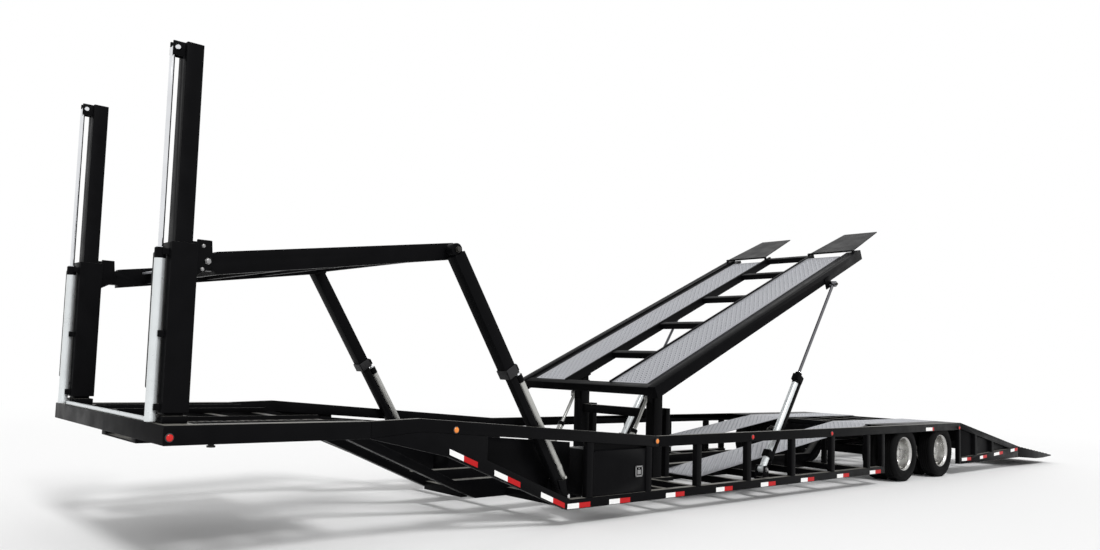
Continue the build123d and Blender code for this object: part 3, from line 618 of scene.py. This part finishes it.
# %% Draw the sections of rim and drum
OUT, TWIN = OUTER_Y, TWIN_Y
NUT_SEAT, HOLE_SEAT = OUT - 0.062, OUT - 0.058
RIM = ((OUT + 0.004, 0), (OUT + 0.004, 0.045), (OUT + 0.001, 0.052), (OUT - 0.010, 0.056),
       (OUT - 0.014, 0.072), (OUT - 0.020, 0.080), (OUT - 0.050, 0.082), (OUT - 0.060, 0.090),
       (NUT_SEAT, 0.098), (NUT_SEAT, 0.130), (HOLE_SEAT, 0.150), (HOLE_SEAT, 0.176),
       (OUT - 0.050, 0.192), (OUT - 0.030, 0.200), (OUT + 0.020, 0.203), (OUT + 0.050, 0.206),
       (OUT + 0.064, 0.212), (OUT + 0.072, 0.221), (OUT + 0.078, 0.226), (OUT + 0.080, 0.230),
       (OUT + 0.078, 0.2335), (OUT + 0.075, 0.2335), (OUT + 0.074, 0.222), (OUT - 0.080, 0.222),
       (OUT - 0.080, 0.212), (TWIN + 0.080, 0.212), (TWIN + 0.080, 0.222), (TWIN - 0.074, 0.222),
       (TWIN - 0.075, 0.2335), (TWIN - 0.079, 0.2335), (TWIN - 0.080, 0.228), (TWIN - 0.066, 0.212),
       (TWIN - 0.040, 0.206), (TWIN + 0.030, 0.203), (TWIN + 0.050, 0.196), (TWIN + 0.050, 0.0395),
       (OUT - 0.012, 0.0395), (OUT - 0.012, 0))
DRUM = ((0.840, 0.045), (0.840, 0.150), (0.846, 0.158), (0.852, 0.165), (0.870, 0.165), (0.872, 0.161),
        (0.884, 0.161), (0.886, 0.165), (TWIN + 0.049, 0.165), (TWIN + 0.049, 0.045))
print(len(RIM), "points in the rim's section and", len(DRUM), "in the drum's")

# %% Turn the rims and drums
NUTS, NUT_CIRCLE, HOLE_CIRCLE, HOLE_SCALE = 10, 0.113, 0.163, 1.3
BETWEEN_NUTS = 0.5


def round_the_hub(x, y, sign, circle, turn=0.0):
    """Places on a circle round the axle line, facing outwards."""
    places = []
    for number in range(NUTS):
        angle = 2 * math.pi * (number + turn) / NUTS
        out = Vector((math.cos(angle), 0, math.sin(angle)))
        places.append((Vector((x, sign * y, WHEEL_RADIUS)) + out * circle, (0, sign, 0), out))
    return places


for axle, x in AXLES.items():
    for side, sign in SIDES.items():
        wheel = f"{axle}_{side}"
        rim = turned(f"twin_rims_{wheel}", (x, 0, WHEEL_RADIUS), (0, sign, 0), RIM, "polished_alloy",
                     WHEEL_SEGMENTS)
        keep(rim, f"wheel_{wheel}", (f"rims_{wheel}",))
        drum = turned(f"brake_drum_{wheel}", (x, 0, WHEEL_RADIUS), (0, sign, 0), DRUM, "cast_iron")
        keep(drum, f"wheel_{wheel}")
        nut_places = round_the_hub(x, NUT_SEAT, sign, NUT_CIRCLE)
        nuts = stamped(f"wheel_nuts_{wheel}", nut_stamp, nut_places, "chrome")
        keep(nuts, f"wheel_{wheel}")
        # The hand holes are dark discs, painted shade where the wheel disc has its openings.
        hole_places = round_the_hub(x, HOLE_SEAT, sign, HOLE_CIRCLE, BETWEEN_NUTS)
        holes = stamped(f"hand_holes_{wheel}", hole_stamp, hole_places, "dark_gap", HOLE_SCALE)
        keep(holes, f"wheel_{wheel}")
print("rims, drums and", NUTS, "nuts on each wheel")

# %% [markdown]
# ## Wheel tracks
# Cars stand on light galvanised planks with rows of raised holes, which let mud and snow through and
# grip a tyre. Cutting hundreds of real holes would make a heavy mesh. A raised ring with a dark
# disc inside it, painted shade where the hole would be, reads the same from any distance, and both
# are stamped from one list of points in staggered rows.

# %% Helpers for planks
TILT = math.radians(23.7)
TILT_FRONT = (2.830, 1.264)
PITCH, EDGE_GAP = 0.062, 0.038
ROW_GAP = PITCH * math.cos(math.pi / 6)


def tilt_point(u, w):
    """Point of the tilt deck, u along it from the front and w above its top."""
    return Vector((TILT_FRONT[0] - u * math.cos(TILT) + w * math.sin(TILT), 0,
                   TILT_FRONT[1] + u * math.sin(TILT) + w * math.cos(TILT)))


def plank(start, end, across):
    """Staggered places on a plank from start to end, between two limits of Y."""
    start, end = Vector(start), Vector(end)
    line = (end - start).normalized()
    facing = line.cross(Vector((0, 1, 0)))
    if facing.z < 0:
        facing = -facing
    rows = int(((end - start).length - 2 * EDGE_GAP) / ROW_GAP)
    columns = int((across[1] - across[0] - 2 * EDGE_GAP) / PITCH)
    places = []
    for row in range(rows + 1):
        centre = start + line * (EDGE_GAP + row * ROW_GAP)
        for column in range(columns + 1 - row % 2):
            y = (across[0] + across[1]) / 2 + (column - (columns - row % 2) / 2) * PITCH
            for sign in (-1, 1):
                places.append((centre + Vector((0, sign * y, 0)), facing, line))
    return places


print("holes stand", PITCH, "m apart in rows", round(ROW_GAP, 4), "m apart")

# %% Split the fixed tracks at the neck
NECK_START = 6.2


def split_tracks():
    """The fixed tracks as two pieces: galvanised in the well and on the tail, black on the neck."""
    for name, finish_name, slot, front in (("well_tracks", "tread_plate", "tread_plate", False),
                                           ("neck_tracks", "black_paint", "black_paint", True)):
        obj = rolled("lower_tracks", PLATE_EDGE)
        obj.name = name
        shape = bmesh.new()
        shape.from_mesh(obj.data)
        away = [face for face in shape.faces if (face.calc_center_median().x > NECK_START) != front]
        bmesh.ops.delete(shape, geom=away, context="FACES")
        shape.to_mesh(obj.data)
        shape.free()
        obj.data.materials[0] = finishes[finish_name]
        print(name, "has", len(obj.data.polygons), "faces")


split_tracks()

# %% Stamp the raised holes
# Each plank is a start, an end and two limits of Y.
TRACK_TOP = -0.012
WELL_ACROSS = (0.405, 0.950)
well_planks = (((1.950, 0, 0.280), (-2.000, 0, 0.785), WELL_ACROSS),
               ((-2.000, 0, 0.785), (-4.160, 0, 0.785), WELL_ACROSS),
               ((-4.160, 0, 0.785), (-6.480, 0, 0.350), WELL_ACROSS))
neck_plank = ((7.765, 0, 0.952), (6.460, 0, 0.952), (0.490, 0.990))
deck_plank = ((7.480, 0, 2.1527), (5.610, 0, 2.4249), (0.440, 0.950))
tilt_plank = (tilt_point(0.100, TRACK_TOP), tilt_point(4.560, TRACK_TOP), (0.370, 0.840))
well_places = [place for limits in well_planks for place in plank(*limits)]
layouts = (("well", "root", well_places, "galvanised"),
           ("neck", "root", plank(*neck_plank), "worn_black"),
           ("upper_deck", "upper_deck", plank(*deck_plank), "galvanised"),
           ("tilt_deck", "tilt_deck", plank(*tilt_plank), "galvanised"))
for name, body, places, finish_name in layouts:
    keep(stamped(f"raised_holes_{name}", boss_stamp, places, finish_name), body)
    # The dark disc in each raised ring is painted shade where the hole would be.
    keep(stamped(f"hole_floors_{name}", hole_stamp, places, "dark_gap"), body)

# %% [markdown]
# ## Hydraulic cylinders
# Each cylinder is a drawn steel barrel with a welded foot, a screwed gland that holds the seals, and
# a plated rod. Most CAD barrels and rods are already round enough and only get the rings that
# break their outline. A ring is a turned band, sunk a little into the barrel, which reads as one
# welded piece. The lift barrels and the feet of the arm cylinders show best, so they are turned
# too, and a barrel's bore has to take its rod at every height of the deck.

# %% Lines that the cylinders follow
ARM_LINE = (Vector((4.350, 0, 0.375)), Vector((5.650, 0, 2.390)))
TILT_LINE = (Vector((0.950, 0, 0.330)), tilt_point(3.745, -0.152))
STAND_LINE = (Vector((2.830, 0, 0.330)), Vector((2.360, 0, 1.120)))
LIFT_X, ROD_TOP = 8.037, 3.530
LIFT_LINE = (Vector((LIFT_X, 0, 0)), Vector((LIFT_X, 0, ROD_TOP)))
LIFT_Y, ARM_Y, TILT_Y, STAND_Y = 1.055, 1.184, 1.122, 0.560
ARM_CYLINDER_LEFT = 0.084
RING_EDGE, RING_SEGMENTS = 0.003, 48


def on_line(line, distance, y=0.0, left=0.0):
    """Point at a distance along a line, moved to its left in the side view, at one Y."""
    way = (line[1] - line[0]).normalized()
    return line[0] + way * distance + Vector((-way.z, 0, way.x)) * left + Vector((0, y, 0))


def band(name, line, y, left, ring, finish_name):
    """A ring with small chamfers round a cylinder, between two distances."""
    start, end, inner, outer = ring
    edge = min(RING_EDGE, (end - start) / 4)
    profile = ((start, inner), (start, outer - edge), (start + edge, outer), (end - edge, outer),
               (end, outer - edge), (end, inner))
    return turned(name, on_line(line, 0, y, left), line[1] - line[0], profile, finish_name, RING_SEGMENTS)


for label, line in (("arm", ARM_LINE), ("tilt", TILT_LINE), ("stand", STAND_LINE)):
    print(label, "line is", round((line[1] - line[0]).length, 3), "m long")

# %% Turn glands, feet and wipers
# Each row is the line, its Y, its offset to the left, the body, black rings and a wiper. A ring is
# its start and end along the line, and its inner and outer radius.
CYLINDERS = {
    "lift": (LIFT_LINE, LIFT_Y, 0.0, "carriage",
             ((2.085, 2.158, 0.030, 0.0380),), (2.158, 2.166, 0.0187, 0.031)),
    "arm": (ARM_LINE, ARM_Y, ARM_CYLINDER_LEFT, "arm",
            ((1.050, 1.122, 0.030, 0.0360),), (1.122, 1.130, 0.0165, 0.026)),
    "tilt": (TILT_LINE, TILT_Y, 0.0, "tilt_barrel",
             ((1.225, 1.262, 0.036, 0.0405), (1.352, 1.376, 0.025, 0.0405)), (1.376, 1.384, 0.0195, 0.031)),
    "stand": (STAND_LINE, STAND_Y, 0.0, "root",
              ((0.476, 0.524, 0.017, 0.0375),), (0.524, 0.530, 0.0175, 0.027)),
}
for name, (line, y, left, body, blacks, wiper) in CYLINDERS.items():
    for side, sign in SIDES.items():
        rider = body if body == "root" else f"{body}_{side}"
        rings = [band("black_ring", line, sign * y, left, ring, "black_paint") for ring in blacks]
        keep(joined(f"{name}_glands_{side}", rings, "black_paint"), rider)
        keep(band(f"{name}_wiper_{side}", line, sign * y, left, wiper, "chrome"), rider)
print(len(CYLINDERS), "kinds of cylinder, two of each")

# %% Turn the lift barrels and the arm cylinders' feet
LIFT_BARREL = ((1.000, 0), (1.000, 0.034), (1.004, 0.038), (1.028, 0.038), (1.031, 0.0362),
               (1.268, 0.0362), (1.269, 0.0376), (1.274, 0.0376), (1.275, 0.0362), (2.150, 0.0362),
               (2.150, 0.0205), (1.022, 0.0205), (1.022, 0))
ARM_FOOT = ((0.004, 0), (0.004, 0.014), (0.016, 0.026), (0.060, 0.029), (0.118, 0.031), (0.121, 0.0345),
            (0.150, 0.0345), (0.152, 0.031), (0.152, 0))
FOOT_PIN = ((-0.040, 0), (-0.040, 0.014), (0.040, 0.014), (0.040, 0))
FOOT_PIN_AT, PIN_SEGMENTS = 0.024, 24
for side, sign in SIDES.items():
    barrel = turned(f"smooth_lift_barrel_{side}", on_line(LIFT_LINE, 0, sign * LIFT_Y), UP, LIFT_BARREL,
                    "silver_paint")
    keep(barrel, f"carriage_{side}", (f"lift_barrel_{side}",))
    foot = turned("foot", on_line(ARM_LINE, 0, sign * ARM_Y, ARM_CYLINDER_LEFT), ARM_LINE[1] - ARM_LINE[0],
                  ARM_FOOT, "dull_silver", RING_SEGMENTS)
    pin = turned("foot_pin", on_line(ARM_LINE, FOOT_PIN_AT, sign * ARM_Y, ARM_CYLINDER_LEFT), (0, 1, 0),
                 FOOT_PIN, "dull_silver", PIN_SEGMENTS)
    keep(joined(f"arm_cylinder_foot_{side}", [foot, pin], "dull_silver"), f"arm_{side}")
print("barrels and feet turned on both sides")

# %% [markdown]
# ## Closing strips
# The top rail rises towards the neck and leaves a wedge of light over each tool box. A thin black
# strip fills that wedge, so it reads dark. A block with one slanted edge could come from a cut,
# but four corners and a thickness say the same in fewer steps.

# %% Close the wedge over the tool boxes
WEDGE = ((3.245, 0.670), (4.000, 0.670), (4.000, 0.752), (3.245, 0.696))
WEDGE_Y = (1.240, 1.252)
PLATE_FACES = [(0, 1, 2, 3), (4, 5, 6, 7)]
PLATE_FACES += [(corner, (corner + 1) % 4, (corner + 1) % 4 + 4, corner + 4) for corner in range(4)]
strips = []
for sign in SIDES.values():
    points = [(x, sign * y, z) for y in WEDGE_Y for x, z in WEDGE]
    strips.append(new_piece("closing_strip", points, PLATE_FACES, "black_paint"))
    face_outwards(strips[-1].data)
keep(joined("closing_strips", strips, "black_paint"), "root")
print(len(strips), "closing strips")

# %% [markdown]
# ## Pipes
# Steel pipes carry oil across the neck's front edge and down beside each lift barrel. A pipe is a
# line of corners with bends of one radius, so Geometry Nodes turn an edge path into a curve,
# round its corners and sweep a circle along it. Corners stay where they are written, which a
# bent cylinder would not allow.

# %% Build the pipe tree
BEND_STEPS, PIPE_SIDES = 8, 16


def pipe_tree():
    """A tree that bends a path at its corners and sweeps a circle along it."""
    tree, sockets = open_tree("bent_pipe", (("Path", "Geometry"), ("Radius", "Float"),
                                            ("Bend", "Float"), ("Finish", "Material")))
    make = tree.nodes.new
    given, result = make("NodeGroupInput"), make("NodeGroupOutput")
    curve, fillet = make("GeometryNodeMeshToCurve"), make("GeometryNodeFilletCurve")
    fillet.mode = "POLY"
    fillet.inputs["Count"].default_value = BEND_STEPS
    fillet.inputs["Limit Radius"].default_value = True
    circle, sweep = make("GeometryNodeCurvePrimitiveCircle"), make("GeometryNodeCurveToMesh")
    circle.inputs["Resolution"].default_value = PIPE_SIDES
    sweep.inputs["Fill Caps"].default_value = True
    realize, paint = make("GeometryNodeRealizeInstances"), make("GeometryNodeSetMaterial")
    for source, target in ((given.outputs["Path"], curve.inputs["Mesh"]),
                           (curve.outputs["Curve"], fillet.inputs["Curve"]),
                           (given.outputs["Bend"], fillet.inputs["Radius"]),
                           (given.outputs["Radius"], circle.inputs["Radius"]),
                           (fillet.outputs["Curve"], sweep.inputs["Curve"]),
                           (circle.outputs["Curve"], sweep.inputs["Profile Curve"]),
                           (sweep.outputs["Mesh"], realize.inputs["Geometry"]),
                           (realize.outputs["Geometry"], paint.inputs["Geometry"]),
                           (given.outputs["Finish"], paint.inputs["Material"]),
                           (paint.outputs["Geometry"], result.inputs["Geometry"])):
        tree.links.new(source, target)
    return tree, sockets


piping, pipe_sockets = pipe_tree()
print("pipe tree of", len(piping.nodes), "nodes")


def pipe(name, points, radius, bend, finish_name):
    """A round pipe through points, with bends of one radius."""
    mesh = bpy.data.meshes.new(name)
    mesh.from_pydata(points, [(number, number + 1) for number in range(len(points) - 1)], [])
    obj = bpy.data.objects.new(name, mesh)
    scene.collection.objects.link(obj)
    modifier = obj.modifiers.new("pipe", "NODES")
    modifier.node_group = piping
    for label, value in (("Radius", radius), ("Bend", bend), ("Finish", finishes[finish_name])):
        modifier[pipe_sockets[label]] = value
    plain(obj)
    face_outwards(obj.data)
    soften(obj.data)
    return obj


# %% Lay the pipes
PIPE_WAY = Vector((0.61, -0.79, 0))
PIPE_OFFSET, PIPE_RADIUS, PIPE_BEND = 0.0455, 0.006, 0.010
PIPE_TOP, PIPE_TURN, PIPE_END = 2.125, 1.230, 1.150
PIPE_START, PIPE_SUNK, PIPE_INSET = 0.03, 0.03, 0.061
SLEEVE_FRONT = 7.992
FRONT_PIPE, FRONT_RADIUS = ((8.011, 0.985, 1.006), (8.011, -0.985, 1.006)), 0.016
front_pipe = pipe("front_pipe", FRONT_PIPE, FRONT_RADIUS, PIPE_BEND, "silver_paint")
keep(front_pipe, "root")
for side, sign in SIDES.items():
    axis = Vector((LIFT_X, sign * LIFT_Y, 0))
    beside = axis + PIPE_WAY * PIPE_OFFSET
    corners = (axis + PIPE_WAY * PIPE_START + Vector((0, 0, PIPE_TOP)), beside + Vector((0, 0, PIPE_TOP)),
               beside + Vector((0, 0, PIPE_TURN)), (SLEEVE_FRONT, axis.y - PIPE_INSET, PIPE_END),
               (SLEEVE_FRONT - PIPE_SUNK, axis.y - PIPE_INSET, PIPE_END))
    lift_pipe = pipe(f"lift_pipe_{side}", corners, PIPE_RADIUS, PIPE_BEND, "black_rubber")
    keep(lift_pipe, f"carriage_{side}")
print("front pipe and two lift pipes laid")

# %% [markdown]
# ## Reflective tape and lamps
# The trailer's sides carry strips of white and red reflective tape and round marker lamps. Tape has
# no thickness to speak of, but a painted pattern would need a picture or a map. Thin plates, half
# sunk in the steel and a millimetre proud of it, are simple and keep sharp ends.

# %% Stick the tape
SIDE_Y, TAPE = 1.295, 0.0012
TAPE_HIGH, TAPE_LONG = 0.047, 0.150


def tape_strips(name, rows, finish_name):
    """All strips of one colour on both sides, each from its start, its length and its line."""
    points, faces = [], []
    for start, length, (height, bend, slope) in rows:
        end = start - length
        low, far_low = (height + max(0, (x - bend) * slope) for x in (start, end))
        outline = [(start, low), (start, low + TAPE_HIGH), (end, far_low + TAPE_HIGH), (end, far_low)]
        for sign in SIDES.values():
            faces += [tuple(len(points) + corner for corner in face) for face in PLATE_FACES]
            points += [(x, sign * y, z) for y in (SIDE_Y - TAPE, SIDE_Y + TAPE) for x, z in outline]
    obj = new_piece(name, points, faces, finish_name)
    face_outwards(obj.data)
    return keep(obj, "root")


# Each line of tape has a height, the X where it leaves the level, and its slope from there.
LOW, SLANT, TAIL, COVER = (0.167, 0, 0), (0.171, 4.352, 0.399), (0.205, -4.9, -0.048), (0.690, 0, 0)
LOW_GAP = 0.8458
COVER_START, COVER_WHITE, COVER_RED = -2.97, 0.21, 0.05
low_starts = [4.335] + [3.776 - LOW_GAP * number for number in range(7)]
slant_starts = (5.705, 5.219, 4.670)
tail_starts = ((-4.196, 0.192, 0.150), (-4.883, 0.118, 0.150), (-5.444, 0.220, 0.150), (-6.150, 0.170, 0.130))
white_rows = [(start, TAPE_LONG, LOW) for start in low_starts]
white_rows += [(start, TAPE_LONG, SLANT) for start in slant_starts]
white_rows += [(start, length, TAIL) for start, length, other in tail_starts]
white_rows += [(COVER_START, COVER_WHITE, COVER)]
red_rows = [(start - TAPE_LONG, TAPE_LONG, LOW) for start in low_starts]
red_rows += [(start - TAPE_LONG, TAPE_LONG, SLANT) for start in slant_starts]
red_rows += [(start - length, other, TAIL) for start, length, other in tail_starts]
red_rows += [(COVER_START - COVER_WHITE, COVER_RED, COVER)]
tape_strips("white_tape", white_rows, "white_tape")
tape_strips("red_tape", red_rows, "red_tape")
print(len(white_rows), "white and", len(red_rows), "red strips on each side")

# %% Helpers for small blocks
def side_span(sign, low, high):
    """Two distances from the middle as limits of Y on one side, the lower first."""
    return sorted((sign * low, sign * high))


def slab(name, low, high, finish_name, edge=0.003):
    """A block between two corners, with round edges."""
    obj = new_piece(name, block_points(low, high), BLOCK_FACES, finish_name)
    face_outwards(obj.data)
    bevel = obj.modifiers.new("round", "BEVEL")
    bevel.width = edge
    bevel.segments = 3
    plain(obj)
    soften(obj.data)
    return obj


# %% Fit the lamps
AMBER_LAMPS = ((5.647, 0.908), (3.087, 0.736))
RED_LAMPS = ((7.990, 0.913), (1.414, 0.730), (-0.316, 0.724), (-4.102, 0.710))
TAIL_LAMP_X, TAIL_LAMP_Y, TAIL_LAMP_Z = (-6.495, -6.476), (0.232, 0.368), (0.232, 0.298)


def side_places(lamps):
    """Places for lamps on the outer face of both sides."""
    return [(Vector((x, sign * SIDE_Y, z)), (0, sign, 0), (1, 0, 0))
            for x, z in lamps for sign in SIDES.values()]


amber = stamped("amber_lenses", lens_stamp, side_places(AMBER_LAMPS), "amber_lens")
keep(amber, "root", ("marker_lamps_amber",))
red_parts = [stamped("red_side_lenses", lens_stamp, side_places(RED_LAMPS), "red_lens")]
for sign in SIDES.values():
    low, high = zip(TAIL_LAMP_X, side_span(sign, *TAIL_LAMP_Y), TAIL_LAMP_Z)
    red_parts.append(slab("tail_lens", low, high, "red_lens", edge=0.006))
keep(joined("red_lenses", red_parts, "red_lens"), "root", ("marker_lamps_red",))
bezels = stamped("lamp_bezels", bezel_stamp, side_places(AMBER_LAMPS + RED_LAMPS), "black_rubber")
keep(bezels, "root")

# %% [markdown]
# ## Bolts, pins and latches
# Big hexagon heads hold the pins of the decks, arms and cylinders, and a steel paddle latch closes
# each tool box. Heads are stamped from one shape, turned to face outwards. The latch is a frame
# with a paddle, made from rounded slabs, because its whole look is in its rounded edges.

# %% Fit bolts and pin heads
def head_places(spots, y):
    """Places for heads that face outwards, by the sign of their side."""
    return {sign: [(Vector((x, sign * y, z)), (0, sign, 0), (1, 0, 0)) for x, z in spots]
            for sign in SIDES.values()}


arm_top = tuple(ARM_LINE[1].xz)
tilt_foot, tilt_top = (tuple(end.xz) for end in TILT_LINE)
# Each row is a name, the body, places in X and Z, the distance from the middle, a scale and a finish.
heads = (
    ("carriage_bolts", "carriage", ((7.772, 2.192), (7.772, 2.032)), 1.130, 0.8, "bare_steel"),
    ("deck_pin_heads", "carriage", ((7.735, 2.090),), 1.130, 1.3, "bare_steel"),
    ("arm_pin_heads", "arm_slide", (arm_top,), 1.2415, 1.6, "greased_steel"),
    ("rod_pin_heads", "tilt_rod", (tilt_top,), 1.168, 1.2, "greased_steel"),
)
for name, body, spots, y, scale, finish_name in heads:
    places = head_places(spots, y)
    for side, sign in SIDES.items():
        head = stamped(f"{name}_{side}", bolt_stamp, places[sign], finish_name, scale)
        keep(head, f"{body}_{side}")
FOOT_HEAD_Y, FOOT_HEAD_SCALE = 1.180, 1.5
foot_pins = [place for row in head_places((tilt_foot,), FOOT_HEAD_Y).values() for place in row]
foot_heads = stamped("cylinder_foot_pins", bolt_stamp, foot_pins, "bare_steel", FOOT_HEAD_SCALE)
keep(foot_heads, "root")

# %% Pin the lift rods to the mast tops
MAST_PIN_X, EYE_START, PIN_START, EYE_SEGMENTS = 8.017, 1.036, 1.004, 40
EYE = ((0, 0.012), (0, 0.026), (0.004, 0.028), (0.034, 0.028), (0.038, 0.026), (0.038, 0.012))
PIN = ((0, 0), (0, 0.017), (0.006, 0.019), (0.014, 0.019), (0.014, 0.013), (0.088, 0.013),
       (0.088, 0.019), (0.098, 0.019), (0.104, 0.015), (0.104, 0))
for side, sign in SIDES.items():
    eye = turned(f"rod_eye_{side}", (MAST_PIN_X, sign * EYE_START, ROD_TOP), (0, sign, 0), EYE, "chrome",
                 EYE_SEGMENTS)
    pin = turned(f"rod_pin_{side}", (MAST_PIN_X, sign * PIN_START, ROD_TOP), (0, sign, 0), PIN, "chrome",
                 PIN_SEGMENTS)
    keep(joined(f"mast_pin_{side}", [eye, pin], "chrome"), "root")
print("an eye and a pin on each mast")

# %% Fit the box latches
LATCH_X, LATCH_Y, LATCH_Z = (3.302, 3.408), (1.2945, 1.3005), (0.402, 0.508)
LATCH_RIM = 0.014
PADDLE, LOCK = ((3.330, 3.380), (0.425, 0.470)), ((3.345, 3.365), (0.478, 0.488))
LATCH_PARTS = ((LATCH_X, (LATCH_Z[0], LATCH_Z[0] + LATCH_RIM)),
               (LATCH_X, (LATCH_Z[1] - LATCH_RIM, LATCH_Z[1])),
               ((LATCH_X[0], LATCH_X[0] + LATCH_RIM), LATCH_Z),
               ((LATCH_X[1] - LATCH_RIM, LATCH_X[1]), LATCH_Z), PADDLE, LOCK)
for side, sign in SIDES.items():
    parts = []
    for x, z in LATCH_PARTS:
        low, high = zip(x, side_span(sign, *LATCH_Y), z)
        parts.append(slab("latch_part", low, high, "bare_steel", edge=0.002))
    keep(joined(f"box_latch_{side}", parts, "bare_steel"), f"door_{side}")
print("latches of", len(parts), "parts each")

# %% [markdown]
# ## Collars and cleats
# The lower end of each outer arm tube has a thick collar, where the tube slides. The rear ramps have
# bars across them, so that tyres get a grip. Both are plain rounded blocks in a row, made from
# the same slab helper and turned into place.

# %% Fit the arms' collars
COLLAR_SPAN, COLLAR_HALF, ARM_INNER = (1.162, 1.250), 0.066, 0.0555
ACROSS, ABOVE, BELOW = (-COLLAR_HALF, COLLAR_HALF), (ARM_INNER, COLLAR_HALF), (-COLLAR_HALF, -ARM_INNER)


def turned_to(obj, line, y):
    """Lay a piece made along X from the world's middle on a line."""
    way = (line[1] - line[0]).normalized()
    left = Vector((-way.z, 0, way.x))
    place = Matrix((way, Vector((0, 1, 0)), left)).transposed().to_4x4()
    obj.data.transform(Matrix.Translation(line[0] + Vector((0, y, 0))) @ place)
    face_outwards(obj.data)
    return obj


for side, sign in SIDES.items():
    walls = []
    for y, z in ((ACROSS, ABOVE), (ACROSS, BELOW), (BELOW, ACROSS), (ABOVE, ACROSS)):
        low, high = zip(COLLAR_SPAN, y, z)
        walls.append(turned_to(slab("collar_wall", low, high, "worn_black"), ARM_LINE, sign * ARM_Y))
    keep(joined(f"arm_collar_{side}", walls, "worn_black"), f"arm_slide_{side}")
print("collars of", len(walls), "walls each")

# %% Fit the ramps' cleats
RAMP_LINE = (Vector((-6.510, 0, 0.342)), Vector((-8.075, 0, 0.140)))
CLEATS, CLEAT_START, CLEAT_GAP, CLEAT_LONG = 10, 0.10, 0.145, 0.022
CLEAT_Y, CLEAT_Z = (0.430, 1.270), (-0.009, 0.003)
for side, sign in SIDES.items():
    cleats = []
    for number in range(CLEATS):
        start = CLEAT_START + number * CLEAT_GAP
        low, high = zip((start, start + CLEAT_LONG), side_span(sign, *CLEAT_Y), CLEAT_Z)
        cleats.append(turned_to(slab("cleat", low, high, "black_paint", edge=0.002), RAMP_LINE, 0))
    keep(joined(f"ramp_cleats_{side}", cleats, "black_paint"), f"ramp_{side}")
print(CLEATS, "cleats on each ramp")

# %% Put the stamps away
for stamp in stamps:
    bpy.data.objects.remove(stamp)
print("stamps removed, their copies stay")
